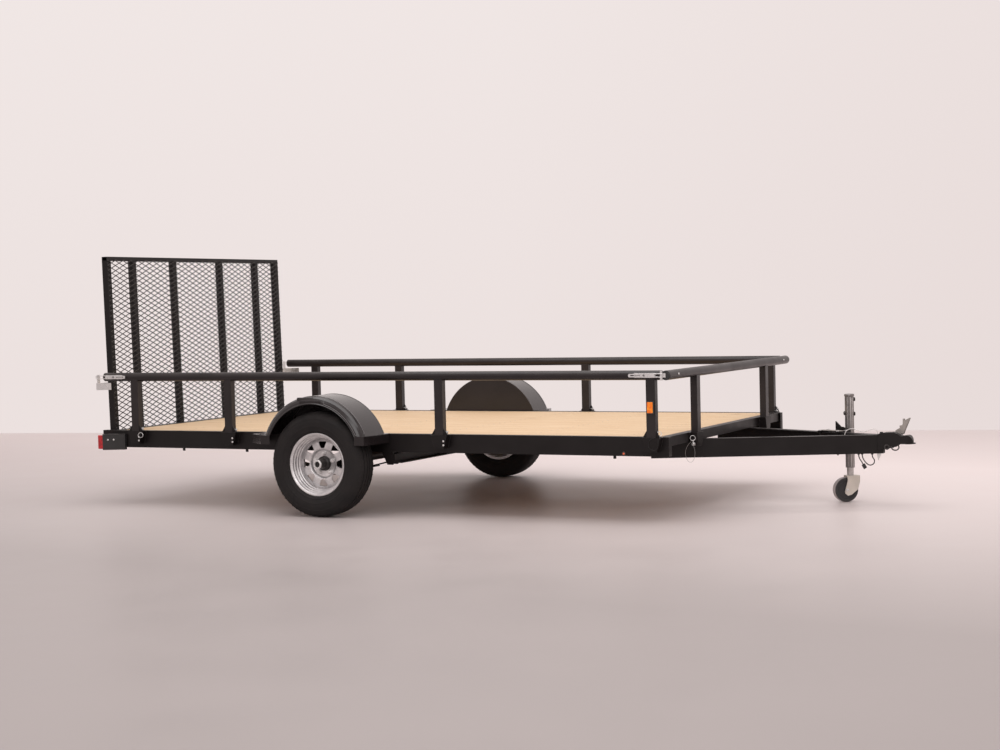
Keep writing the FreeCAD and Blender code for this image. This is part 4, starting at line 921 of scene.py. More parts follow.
def at(x: float, y: float, z: float) -> Point:
    """Place in metres of a point in millimetres ahead of the axle, to the left and up from the ground."""
    return ((x + AXLE_X) * MM, y * MM, z * MM)


def beside(origin: Sequence[float]) -> Spot:
    """Places in millimetres that are measured from a point in metres."""
    return lambda x, y, z: tuple(Vector(origin) + Vector((x, y, z)) * MM)


def rounded(corners: Sequence[Flat], radius: float, steps: int = 4) -> list[Flat]:
    """Rounds the corners of a flat outline.

    Args:
        corners: corners in order.
        radius: how far from a corner its rounding starts.
        steps: segments in each rounding.

    Returns:
        The points of the rounded outline.
    """
    points = []
    for i, corner in enumerate(corners):
        here = Vector(corner)
        before, after = Vector(corners[i - 1]), Vector(corners[(i + 1) % len(corners)])
        start = here + (before - here).normalized() * radius
        end = here + (after - here).normalized() * radius
        for step in range(steps + 1):
            t = step / steps
            points.append(tuple(start * (1 - t) ** 2 + here * (2 * t * (1 - t)) + end * t ** 2))
    return points


def dropped(pieces: Sequence[Piece]) -> None:
    """Removes pieces that were only patterns or cutters."""
    for piece in pieces:
        bpy.data.objects.remove(piece, do_unlink=True)


def cut_by(piece: Piece, tools: Sequence[Piece]) -> Piece:
    """Cuts tools out of a piece and removes them.

    Args:
        piece: the object to cut.
        tools: closed solids that don't touch each other.

    Returns:
        The cut piece.
    """
    tool = joined("cutter", tools)
    cutter = piece.modifiers.new("cut", "BOOLEAN")
    cutter.operation, cutter.object = "DIFFERENCE", tool
    only(piece)
    bpy.ops.object.modifier_apply(modifier=cutter.name)
    dropped([tool])
    return smooth(piece)


def rods(rows: Sequence[Rod], spot: Spot = at) -> list[Piece]:
    """Round bars, each from its two ends, its radius, the faces around it and its rounding."""
    return [bar("rod", spot(*start), spot(*end), radius * MM, sides, edge * MM)
            for start, end, radius, sides, edge in rows]


def blocks(rows: Sequence[Box], spot: Spot = at) -> list[Piece]:
    """Blocks, each from two corners, its rounding and the steps in that."""
    return [block("block", spot(*low), spot(*high), edge * MM, steps) for low, high, edge, steps in rows]


def hoops(rows: Sequence[Ring]) -> list[Piece]:
    """Wire rings, each from its middle, its direction, its radius and the radius of its wire."""
    return [hoop("ring", at(*centre), way, radius * MM, thin * MM) for centre, way, radius, thin in rows]


def fitted(name: str, parts: Sequence[Piece], finish: Finish, body: str, slot: str, *nodes: str) -> Piece:
    """Joins parts to a finished piece and fixes it on its body.

    Args:
        name: name of the piece.
        parts: meshes to join.
        finish: its material.
        body: body that carries it.
        slot: finish slot of the record; not used.
        *nodes: nodes that it stands for.

    Returns:
        The piece.
    """
    piece = report(dress(joined(name, parts), finish), body)
    if nodes:
        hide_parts(*nodes)
    return piece


def pair(name: str, parts: Sequence[Piece], finish: Finish, body: str, node: str = "") -> None:
    """Joins parts of the right side, copies them to the left and fixes both.

    Args:
        name: name of the piece, before its side.
        parts: meshes of the right side.
        finish: their material.
        body: body that carries them, with {} for the side.
        node: node that they stand for, with {} for the side.
    """
    right = dress(joined(name, parts), finish)
    for made, side in ((right, Side.RIGHT), (copied(right, MIRROR), Side.LEFT)):
        made.name = "%s_%s" % (name, side.word)
        report(made, body.format(side.word))
        if node:
            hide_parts(node.format(side.word))


def bead(start: Sequence[float], end: Sequence[float], radius: float = 3.0, pitch: float = 5.0) -> Piece:
    """Lays a weld bead with its ripples between two points.

    Args:
        start: one end in metres.
        end: other end in metres.
        radius: radius of the bead in millimetres.
        pitch: length of one ripple in millimetres.

    Returns:
        The bead, half sunk in what it joins.
    """
    line = (Vector(end) - Vector(start)) / MM
    count = max(2, int(line.length / pitch))
    profile = [(0.0, 0.0)]
    for i in range(count):
        for share, size in ((0.2, 0.82), (0.8, 1.0)):
            profile.append((line.length * (i + share) / count, radius * size))
    profile.append((line.length, 0.0))
    return turned("bead", profile, tuple(start), line, 8, closed=False)


# Sub-assemblies of the trailer
@dataclass
class CadCoats:
    """Finishes of the CAD nodes that stay in view."""

    finishes: Finishes
    by_node: dict[str, str] = field(default_factory=lambda: {
        "fender_left": "fender_black", "fender_right": "fender_black", "coupler_lever": "cast_zinc",
        "jack_tube": "dark_zinc", "jack_inner": "mid_zinc", "jack_swivel": "frame_black"})

    def build(self) -> None:
        """Gives every CAD node the finish of its record slot, or its own."""
        for node, slot in CAD_SLOTS.items():
            mesh = frame["nodes"][node].data
            for index in range(len(mesh.materials)):
                mesh.materials[index] = getattr(self.finishes, self.by_node.get(node, slot))


@dataclass
class Deck:
    """Boards of the deck with rounded edges and rows of screws."""

    finishes: Finishes
    boards: int = BOARDS
    gap: float = BOARD_GAP
    round_edge: float = 2.2 * MM
    round_steps: int = 3
    smooth_degrees: float = 50.0
    screw: Rod = ((0, 0, -1.0), (0, 0, 0.3), 4.2, 12, 0.0)
    screw_inset: float = 32 * MM
    bearers: Sequence[float] = (-1625.0, -1125.0, -550.0, 25.0, 600.0, 1175.0, 1750.0, 1972.0)

    def build(self) -> None:
        """Builds the boards in place of the plain ones."""
        low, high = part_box("deck_boards")
        width = (high.y - low.y - (self.boards - 1) * self.gap) / self.boards
        boards, screws = [], []
        pattern = rods([self.screw], beside((0, 0, high.z)))
        for i in range(self.boards):
            y = low.y + i * (width + self.gap)
            boards.append(block("board", (low.x, y, low.z), (high.x, y + width, high.z), self.round_edge,
                                self.round_steps))
            for x in self.bearers:
                for inset in (self.screw_inset, width - self.screw_inset):
                    screws.append(copied(pattern[0], Matrix.Translation((at(x, 0, 0)[0], y + inset, 0))))
        dropped(pattern)
        fitted("deck_screws", screws, self.finishes.dark_zinc, "chassis", "zinc")
        planks = smooth(joined("deck_planks", boards), self.smooth_degrees)
        fitted("deck_planks", [planks], self.finishes.deck_wood, "chassis", "deck_wood", "deck_boards")


@dataclass
class Wheels:
    """Treaded tyre, spoked rim, hub and nuts of the right wheel, copied to the left."""

    finishes: Finishes
    steps: int = 96
    hub_steps: int = 64
    ring_steps: int = 48
    ribs: int = 60
    rib_size: Point = (5.0, 20.0, 2.8)
    rib_round: float = 0.8
    rib_place: Point = (0.0, 65.5, 285.8)
    rib_tilt: float = -40.0
    windows: int = 8
    window: Sequence[Flat] = ((-12, 87), (12, 87), (27.5, 125), (-27.5, 125))
    window_round: float = 9.0
    cutter_reach: float = 40.0
    studs: int = 5
    stud_circle: float = 57.15
    stud_face: float = 17.6
    stud: Sequence[Rod] = (((0, 0, 0), (0, -15, 0), 11.0, 6, 1.4), ((0, -15, 0), (0, -19, 0), 5.8, 16, 0.8),
                           ((0, 0, 0), (0, -4, 0), 12.6, 24, 1.2))
    valve: Sequence[Rod] = (((-31.6, 20, -144), (-34.6, -14, -148), 3.4, 14, 0.8),
                            ((-31.6, 20, -144), (-32.95, 4.7, -145.8), 6.0, 16, 1.2))
    tyre_side: Sequence[Flat] = (
        (59, 163.3), (59.4, 175.4), (63, 177.8), (69, 179.5), (72.5, 184), (76, 189), (78.2, 190.4),
        (78.6, 192.6), (78, 194.6), (81.6, 204), (84.6, 214), (86.1, 215.4), (86.1, 217.4), (85.4, 219),
        (87.1, 231), (86.6, 243), (84.6, 253), (85.2, 254.4), (84.6, 257), (81, 265), (76, 274), (69, 283),
        (61, 289.8), (52, 292.4), (46, 293.2), (45.5, 287), (39.5, 287), (39, 293.8), (22, 294.6),
        (15.5, 294.8), (15, 288), (9, 288), (8.5, 295))
    barrel_side: Sequence[Flat] = (
        (-67, 175), (-63, 176.8), (-59, 175), (-59, 163), (-34, 163), (-23, 146), (8, 146), (20, 163),
        (59, 163), (59, 175), (62, 177.2), (65.6, 176.4), (67, 173), (66.4, 169.6), (63.6, 166.4),
        (60.5, 161.4), (47, 160.2), (44.6, 155.4), (30, 154), (27.4, 149.2), (15, 147.6), (12, 143.4),
        (-23, 142.6), (-34, 159.6), (-67, 159.6))
    disc_side: Sequence[Flat] = (
        (-18, 41.5), (-17.6, 69), (-15, 74.5), (-7, 78.5), (-2, 82), (0.4, 87), (1.6, 96), (1.8, 112),
        (0.2, 122), (-3, 129), (-7.4, 135), (-12, 143.2), (-16, 143.2), (-11, 134), (-6.5, 127), (-3.6, 120),
        (-2.2, 110), (-2.4, 96), (-3.8, 89), (-6, 85), (-11, 81.5), (-19.5, 77), (-21.6, 70), (-22, 41.5))
    hub_side: Sequence[Flat] = (
        (-60, 18), (-60, 36), (-32, 36), (-32, 71), (-22.3, 71), (-22.3, 40.4), (-6, 40.4), (-1.5, 38.4),
        (1, 33), (4.5, 29.4), (9, 27), (56, 27), (56, 15), (52.5, 14), (52.5, 0), (30, 0), (30, 18))
    ring_side: Sequence[Flat] = (
        (56.2, 27), (60.4, 26.4), (63, 24), (64, 21), (63.6, 17.6), (61.5, 16), (56.2, 15.4))

    def build(self) -> None:
        """Builds the right wheel and copies it to the left."""
        self.centre = middle("tyre_right")
        fine = self.finishes
        valve = rods(self.valve, beside(self.centre))
        pair("tyre_detail", [self.tyre()], fine.tyre, "wheel_{}", "tyre_{}")
        pair("rim_detail", self.rim(), fine.galvanised, "wheel_{}", "rim_{}")
        pair("hub_detail", [self.spun(self.hub_side, self.hub_steps)], fine.hub_dark, "wheel_{}",
             "hub_{}")
        pair("wheel_nuts_detail", self.nuts(), fine.zinc, "wheel_{}", "hub_{}")
        pair("valve_detail", valve, fine.cable_black, "wheel_{}")

    def spun(self, side: Sequence[Flat], steps: int) -> Piece:
        """Outline spun round the wheel's axle."""
        return turned("ring", side, tuple(self.centre), RIGHT, steps)

    def tyre(self) -> Piece:
        """Carcass with sidewall rings and grooves, and a row of low ribs on each shoulder.

        Returns:
            The tyre.
        """
        made = [self.spun([*self.tyre_side, *((-a, r) for a, r in reversed(self.tyre_side))], self.steps)]
        half = Vector(self.rib_size) * MM / 2
        rib = block("rib", -half, half, self.rib_round * MM, 1)
        tilt = Matrix.Rotation(math.radians(self.rib_tilt), 4, "X")
        rib.data.transform(Matrix.Translation(Vector(self.rib_place) * MM) @ tilt)
        for share in range(self.ribs):
            place = Matrix.Translation(self.centre) @ Matrix.Rotation(2 * math.pi * share / self.ribs, 4, "Y")
            made += [copied(rib, place @ flip) for flip in (Matrix(), MIRROR)]
        dropped([rib])
        return smooth(joined("tyre", made), 30)

    def rim(self) -> list[Piece]:
        """Barrel with its steps, and the disc with its ring of windows.

        Returns:
            The barrel and the disc.
        """
        reach = self.cutter_reach * MM
        ring = [(u * MM, self.centre.y + reach, v * MM) for u, v in rounded(self.window, self.window_round)]
        tool = slab("window", ring, (0, -2 * reach, 0))
        place = Matrix.Translation((self.centre.x, 0, self.centre.z))
        tools = [copied(tool, place @ Matrix.Rotation(2 * math.pi * i / self.windows, 4, "Y"))
                 for i in range(self.windows)]
        dropped([tool])
        return [self.spun(self.barrel_side, self.steps), cut_by(self.spun(self.disc_side, self.steps), tools)]

    def nuts(self) -> list[Piece]:
        """Bright nuts on their studs, and the pressed ring at the end of the cap.

        Returns:
            Their meshes.
        """
        made = [self.spun(self.ring_side, self.ring_steps)]
        for i in range(self.studs):
            angle = 2 * math.pi * i / self.studs
            x, z = self.stud_circle * math.sin(angle), self.stud_circle * math.cos(angle)
            made += rods(self.stud, beside(self.centre + Vector((x, self.stud_face, z)) * MM))
        return made


@dataclass
class RampGate:
    """Expanded mesh of the ramp gate: two families of twisted strands that cross, one painted lighter as lit
    and the other darker as painted shade.
    """

    finishes: Finishes
    hinge: Flat = (-1616.0, 430.0)
    lean: float = 1.335
    half_width: float = 939.0
    top: float = 1488.0
    foot: float = 432.0
    face: float = 21.0
    long_way: float = 75.0
    short_way: float = 31.0
    strand: Flat = (5.4, 2.2)
    twist: float = 24.0

    def build(self) -> None:
        """Builds the mesh in place of the plain one."""
        # One family takes the lighter paint and the other the darker: painted light and shade on one and the
        # same mesh.
        mesh = joined("mesh_strands", [dress(self.family(1), self.finishes.mesh_black),
                                       dress(self.family(-1), self.finishes.mesh_dark)])
        self.trim(mesh)
        pivot = Matrix.Translation(at(self.hinge[0], 0, self.hinge[1]))
        mesh.data.transform(pivot @ Matrix.Rotation(-math.radians(self.lean), 4, "Y") @ pivot.inverted())
        report(mesh, "gate")
        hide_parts("gate_mesh")

    def family(self, way: int) -> Piece:
        """Strands that all slope one way.

        Args:
            way: 1 where they rise to the left, -1 to the right.

        Returns:
            The strands as one object.
        """
        slope = self.short_way / self.long_way
        wide, thick = (size * MM / 2 for size in self.strand)
        half = (self.half_width * math.hypot(1, slope) + 2 * self.long_way) * MM
        strand = block("strand", (-thick, -half, -wide), (thick, half, wide))
        strand.data.transform(Matrix.Rotation(way * math.radians(self.twist), 4, "Y"))
        strand.data.transform(Matrix.Rotation(way * math.atan(slope), 4, "X"))
        spare = self.half_width * slope
        count = int((self.top - self.hinge[1] + 2 * spare) / self.short_way) + 1
        made = []
        for i in range(count):
            z = self.hinge[1] - spare + i * self.short_way
            made.append(copied(strand, Matrix.Translation(at(self.hinge[0] + self.face, 0, z))))
        dropped([strand])
        return joined("family", made)

    def trim(self, mesh: Piece) -> None:
        """Cuts the strands off along the gate's frame.

        Args:
            mesh: the joined strands.
        """
        edges = [((0, self.half_width, 0), (0, 1, 0)), ((0, -self.half_width, 0), (0, -1, 0)),
                 ((0, 0, self.top), (0, 0, 1)), ((0, 0, self.foot), (0, 0, -1))]
        with editing(mesh):
            for place, outwards in edges:
                bpy.ops.mesh.select_all(action="SELECT")
                bpy.ops.mesh.bisect(plane_co=at(*place), plane_no=outwards, use_fill=True, clear_outer=True)


@dataclass(frozen=True)
class Sheet:
    """Plate of a latch: its plan, how far its corners are rounded, and its inner and outer height."""

    plan: Sequence[Flat]
    corner: float
    low: float
    high: float

    def build(self, spot: Spot) -> Piece:
        """Builds the plate, standing out to the right."""
        ring = [spot(u, self.low, z) for u, z in rounded(self.plan, self.corner)]
        return slab("sheet", ring, (0, (self.low - self.high) * MM, 0))


@dataclass
class RailFittings:
    """Draw latches, catch straps, end plugs, bolts and gussets of the three rails."""

    finishes: Finishes
    rail_y: float = 1012.05
    rail_z: float = 778.0
    skin: float = 1037.8
    front_end: Point = (2013.65, -1036.0, 778.0)
    ends: Sequence[tuple[float, int, float]] = ((-1600.0, -1, 1.0), (1982.0, 1, 0.34))
    base: Sheet = Sheet(((23, -12), (144, -12), (144, 12), (23, 12)), 5, 0, 2.2)
    lever: Sheet = Sheet(((25, -11.6), (60, -11.6), (84, -9.6), (172, -9.0), (172, 9.0), (84, 9.6),
                          (60, 11.6), (25, 11.6)), 8, 9.2, 12.0)
    lever_slot: Sheet = Sheet(((104, -2.6), (160, -2.6), (160, 2.6), (104, 2.6)), 2.4, 5, 16)
    lever_eye: Sheet = Sheet(((78, -5.4), (91, -5.4), (91, 5.4), (78, 5.4)), 5, 5, 16)
    latch_blocks: Sequence[Box] = (
        ((30, 3.5, -9.4), (150, 11.2, -7.4), 0.5, 1), ((26, 2, -11.8), (66, 9.5, -9.6), 0.6, 1),
        ((30, 3.5, 9.4), (150, 11.2, 7.4), 0.5, 1), ((26, 2, 11.8), (66, 9.5, 9.6), 0.6, 1),
        ((27, 2, -9), (52, 12.6, 9), 2.4, 2))
    latch_rods: Sequence[Rod] = (
        ((38, 7.5, -12), (38, 7.5, 12), 2.8, 14, 0.6), ((58, 6.5, -12), (58, 6.5, 12), 2.8, 14, 0.6),
        ((112, 1.5, 0), (112, 4.6, 0), 4.0, 14, 1.2), ((134, 1.5, 0), (134, 4.6, 0), 4.0, 14, 1.2))
    bail_wire: float = 2.3
    bail_out: float = 9.4
    bail_line: Sequence[Flat] = ((52, 7.4), (24, 8.6), (-26, 8.8), (-44, 8.8), (-45.6, 4.5), (-45.6, -4.5),
                                 (-44, -8.8), (-26, -8.8), (24, -8.6), (52, -7.4))
    plug_steps: int = 40
    plug_side: Sequence[Flat] = ((0.3, 0), (0.3, 25.1), (1.6, 25.2), (2.5, 24.2), (3.0, 21.5), (3.2, 17),
                                 (3.2, 0))
    strap: Sequence[Box] = (((1985.6, -1047.4, 752.5), (1998.0, -1039.5, 801.5), 0.8, 2),
                            ((1984.6, -1041.9, 767.0), (2014.0, -1039.4, 789.0), 0.8, 2))
    bolt: Rod = ((2038.6, -917.0, 781.0), (2042.6, -917.0, 781.0), 6.5, 20, 1.6)
    gusset: Sequence[Flat] = ((25.6, 492), (47, 458), (44, 455.6), (25.6, 455.6))
    gusset_y: float = -1029.5
    gusset_thick: float = 6.0
    gusset_round: float = 0.8

    def build(self) -> None:
        """Builds the right side and copies it."""
        fine = self.finishes
        metal = [part for end, way, reach in self.ends for part in self.latch(end, way, reach)]
        pair("draw_latches", metal, fine.zinc, "rail_{}", "rail_latches_{}")
        plugs = [self.plug(at(end, -self.rail_y, self.rail_z), (way, 0, 0)) for end, way, _ in self.ends]
        pair("rail_plugs", plugs, fine.lamp_black, "rail_{}")
        pair("front_rail_plug", [self.plug(at(*self.front_end), RIGHT)], fine.lamp_black, "rail_front")
        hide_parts("front_rail_keepers")
        pair("catch_strap", blocks(self.strap), fine.zinc, "rail_front")
        pair("rail_bolt", rods([self.bolt]), fine.zinc, "rail_front")
        gussets = [self.plate(x, side) for x in STAKES for side in (1, -1)]
        pair("stake_gussets", gussets, fine.frame_black, "rail_{}")

    def plug(self, centre: Point, axis: Point) -> Piece:
        """Low domed plug in a rail's end."""
        return turned("plug", self.plug_side, centre, axis, self.plug_steps, closed=False)

    def plate(self, x: float, side: int) -> Piece:
        """Small gusset on one side of a stake's foot, just above the pocket."""
        ring = [at(x + side * a, self.gusset_y, z) for a, z in self.gusset]
        return slab("gusset", ring, (0, self.gusset_thick * MM, 0), self.gusset_round * MM)

    def from_end(self, end: float, way: int) -> Spot:
        """Places from a rail's end: back along the rail, out from its skin, and up from its middle."""
        return lambda back, out, up: at(end - way * back, -(self.skin + out), self.rail_z + up)

    def latch(self, end: float, way: int, reach: float) -> list[Piece]:
        """Base, slotted lever, hinge lump, pins and wire bail of one latch.

        Args:
            end: the rail's end.
            way: 1 where the rail ends towards the coupler, -1 towards the gate.
            reach: share of the bail's full reach past the rail's end.

        Returns:
            Its meshes.
        """
        spot = self.from_end(end, way)
        lever = cut_by(self.lever.build(spot), [self.lever_slot.build(spot), self.lever_eye.build(spot)])
        line = [spot(u if u > 0 else u * reach, self.bail_out, z) for u, z in self.bail_line]
        bail = as_mesh(wire("bail", line, self.bail_wire * MM))
        made = [self.base.build(spot), lever, *blocks(self.latch_blocks, spot)]
        return [*made, *rods(self.latch_rods, spot), bail]


@dataclass
class PocketFittings:
    """Bolts, weld beads, lock pins with their rings and the lanyards at the stake pockets."""

    finishes: Finishes
    bolts: Sequence[Rod] = (((29, -1036.2, 421), (29, -1040.2, 421), 5.6, 16, 1.6),
                            ((29, -1036.2, 399), (29, -1040.2, 399), 5.6, 16, 1.6))
    weld_y: float = -987.4
    front_weld_x: float = 1994.6
    front_weld_y: float = -597.0
    mouth: Flat = (50.0, 453.5)
    foot: Flat = (30.5, 381.0)
    pins: Sequence[Rod] = (
        ((2016, -628, 392), (2016, -645, 392), 5.0, 16, 1.0),
        ((2016, -642, 392), (2016, -655, 392), 10.5, 24, 4.0),
        ((2015, -649, 400), (2013, -649, 414), 2.4, 12, 0.6),
        ((1969, -1017, 466), (1965, -1019, 449), 2.4, 12, 0.6),
        ((1950.6, -1012, 462), (1966, -1012, 462), 4.6, 16, 1.2))
    rings: Sequence[Ring] = (
        ((2013, -650, 425), (0.35, -1, 0.1), 13.5, 1.6), ((1964, -1016, 474), (0.5, -0.85, 0.2), 12.0, 1.6),
        ((-1334, -1038.4, 431), (0.25, -1, 0.1), 15.0, 1.6))
    stake_pins: Sequence[Rod] = (((25.6, -1014, 468), (36, -1014, 468), 4.6, 16, 1.2),
                                 ((32, -1014, 468), (44, -1014, 468), 9.0, 20, 3.4))
    lanyard_radius: float = 0.8
    front_loop: Sequence[Point] = (
        (2012, -651, 411), (1992, -653, 396), (1973, -654, 364), (1971, -654, 330), (1984, -654, 300),
        (2003, -654, 292), (2020, -654, 309), (2026, -653, 340), (2024, -652, 368), (2018, -651, 379))
    side_loop: Sequence[Point] = (
        (1966, -1031, 456), (1964, -1040.4, 440), (1968, -1041.5, 420), (1962, -1041.5, 400),
        (1945, -1041.5, 389), (1924, -1041.5, 394), (1911, -1041.5, 412), (1914, -1041.5, 435),
        (1930, -1041.5, 452), (1948, -1041, 456))

    def build(self) -> None:
        """Builds the right side and copies it."""
        fine = self.finishes
        feet = [beside(at(x, 0, 0)) for x in STAKES[:-1]]
        bolts = [bolt for foot in feet for bolt in rods(self.bolts, foot)]
        pins = rods(self.pins) + hoops(self.rings)
        pins += [pin for foot in feet for pin in rods(self.stake_pins, foot)]
        pair("pocket_bolts", bolts, fine.zinc, "chassis")
        pair("pocket_welds", self.welds(), fine.frame_black, "chassis")
        pair("lock_pins", pins, fine.zinc, "chassis")
        self.lanyard("front_lanyard", self.front_loop, fine.lanyard_grey)
        self.lanyard("side_lanyard", self.side_loop, fine.cable_black)

    def welds(self) -> list[Piece]:
        """Beads down the slanted edges of the pockets.

        Returns:
            The beads of the side pockets and of the front pocket.
        """
        places = [(x, self.weld_y, (1, 0)) for x in STAKES] + [(self.front_weld_x, self.front_weld_y, (0, 1))]
        made = []
        for side in (1, -1):
            for x, y, (ahead, across) in places:
                made.append(bead(*(at(x + side * a * ahead, y + side * a * across, z)
                                   for a, z in (self.mouth, self.foot))))
        return made

    def lanyard(self, name: str, points: Sequence[Point], finish: Finish) -> None:
        """Thin wire lanyard from its pin and back, on both sides.

        Args:
            name: name of the lanyard, before its side.
            points: control points on the right side.
            finish: its material.
        """
        for side in Side:
            spots = [at(x, -side.value * y, z) for x, y, z in points]
            cable = wire("%s_%s" % (name, side.word), spots, self.lanyard_radius * MM)
            report(dress(cable, finish), "chassis")
            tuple(spots[0])


@dataclass
class RearLamps:
    """Ribbed red lenses, bolts and folded edges of their slanted guards, and the amber lamps. The folded
    edges are painted lighter than the guards, a painted highlight.
    """

    finishes: Finishes
    lens: Box = ((-1640.4, -1056.8, 345.2), (-1600.2, -991.2, 428.8), 4.0, 3)
    rib: Box = ((-1642.0, -1049.0, 350.0), (-1636.0, -999.0, 354.0), 1.0, 1)
    ribs: int = 7
    rib_pitch: float = 70 / 6
    bolts: Sequence[Rod] = (((-1571.149, -1047.177, 401), (-1569.174, -1051.331, 401), 5.4, 16, 1.5),
                            ((-1539.429, -1032.097, 401), (-1537.454, -1036.251, 401), 5.4, 16, 1.5))
    folds: Sequence[Rod] = (((-1600, -1062, 434), (-1478, -1004, 434), 1.8, 10, 0.0),
                            ((-1600, -1062, 341.5), (-1478, -1004, 341.5), 1.8, 10, 0.0))
    stake_case: Box = ((1904.0, -1038.4, 578.0), (1946.0, -1031.4, 645.0), 1.5, 2)
    stake_lens: Box = ((1907.0, -1040.4, 583.0), (1939.0, -1034.0, 640.0), 2.0, 2)
    marker: Point = (1753.0, -986.3, 366.0)
    bezel_steps: int = 32
    bezel_side: Sequence[Flat] = ((-1, 11), (5, 11), (6.5, 9), (5.4, 6.4), (-1, 6.4))
    eye_steps: int = 28
    eye_side: Sequence[Flat] = ((0, 0), (0, 6.6), (5, 6.2), (7, 4), (7.6, 0))

    def build(self) -> None:
        """Builds the right lamps and copies them."""
        fine = self.finishes
        made = blocks([self.lens, self.rib])
        rises = [Matrix.Translation((0, 0, i * self.rib_pitch * MM)) for i in range(1, self.ribs)]
        made += [copied(made[1], rise) for rise in rises]
        made += [copied(part, MIRROR) for part in made]
        fitted("lamp_lenses_detail", made, fine.lens_red, "chassis", "lens_red", "lamp_lenses")
        pair("lamp_bolts", rods(self.bolts), fine.zinc, "chassis")
        # The folds take the lighter edge paint: a painted highlight along the top and bottom edges of each
        # guard.
        pair("lamp_fold", rods(self.folds), fine.edge_black, "chassis")
        pair("stake_lamp_case", blocks([self.stake_case]), fine.lamp_black, "rail_{}",
             "stake_lamp_{}")
        pair("stake_lamp_lens", blocks([self.stake_lens]), fine.lens_amber, "rail_{}")
        bezel = turned("bezel", self.bezel_side, at(*self.marker), RIGHT, self.bezel_steps)
        pair("marker_bezels", [bezel], fine.lamp_black, "chassis")
        eye = turned("eye", self.eye_side, at(*self.marker), RIGHT, self.eye_steps, closed=False)
        fitted("side_marker_lenses", [eye, copied(eye, MIRROR)], fine.lens_deep, "chassis", "lens_amber",
               "side_markers")


@dataclass
class FenderTrim:
    """Pressed beads on the fenders' shoulders, in a lighter paint as a painted highlight, and the ledge
    outside.
    """

    finishes: Finishes
    centre: Flat = (-12.0, 333.0)
    arcs: Sequence[tuple[float, float, float, float]] = (
        (344.4, 1194.0, 16.0, 66.0), (311.0, 1236.5, 16.0, 65.0), (344.2, 989.0, -68.0, 68.0))
    arc_steps: int = 24
    foot: Sequence[Point] = ((337.0, 1208.0, 68.5), (325.0, 1228.5, 68.0))
    head: Sequence[Point] = ((340.0, 1210.0, 14.0), (328.0, 1228.5, 14.0))
    wire: float = 3.0
    ledge: Box = ((-106.0, -1230.0, 640.0), (-2.0, -1199.0, 669.5), 5.0, 3)

    def build(self) -> None:
        """Builds the right side and copies it."""
        lines = [self.arc(*row) for row in self.arcs]
        for end, rows in ((-1, self.foot), (0, self.head)):
            lines.append([lines[0][end], *(self.spot(*row) for row in rows), lines[1][end]])
        made = [as_mesh(wire("bead", points, self.wire * MM)) for points in lines]
        # The beads take the lighter bead paint: a painted highlight along the shoulders and the lip.
        pair("fender_beads", made, self.finishes.fender_bead, "chassis")
        ledge = [smooth(part) for part in blocks([self.ledge])]
        pair("fender_ledge", ledge, self.finishes.fender_black, "chassis")

    def spot(self, radius: float, y: float, degrees: float) -> Point:
        """Point on an arc about the fender's centre, at an angle ahead of the top."""
        turn = math.radians(degrees)
        return at(self.centre[0] + radius * math.sin(turn), -y, self.centre[1] + radius * math.cos(turn))

    def arc(self, radius: float, y: float, start: float, end: float) -> list[Point]:
        """Points along an arc from one angle to another."""
        steps = range(self.arc_steps + 1)
        return [self.spot(radius, y, start + (end - start) * i / self.arc_steps) for i in steps]


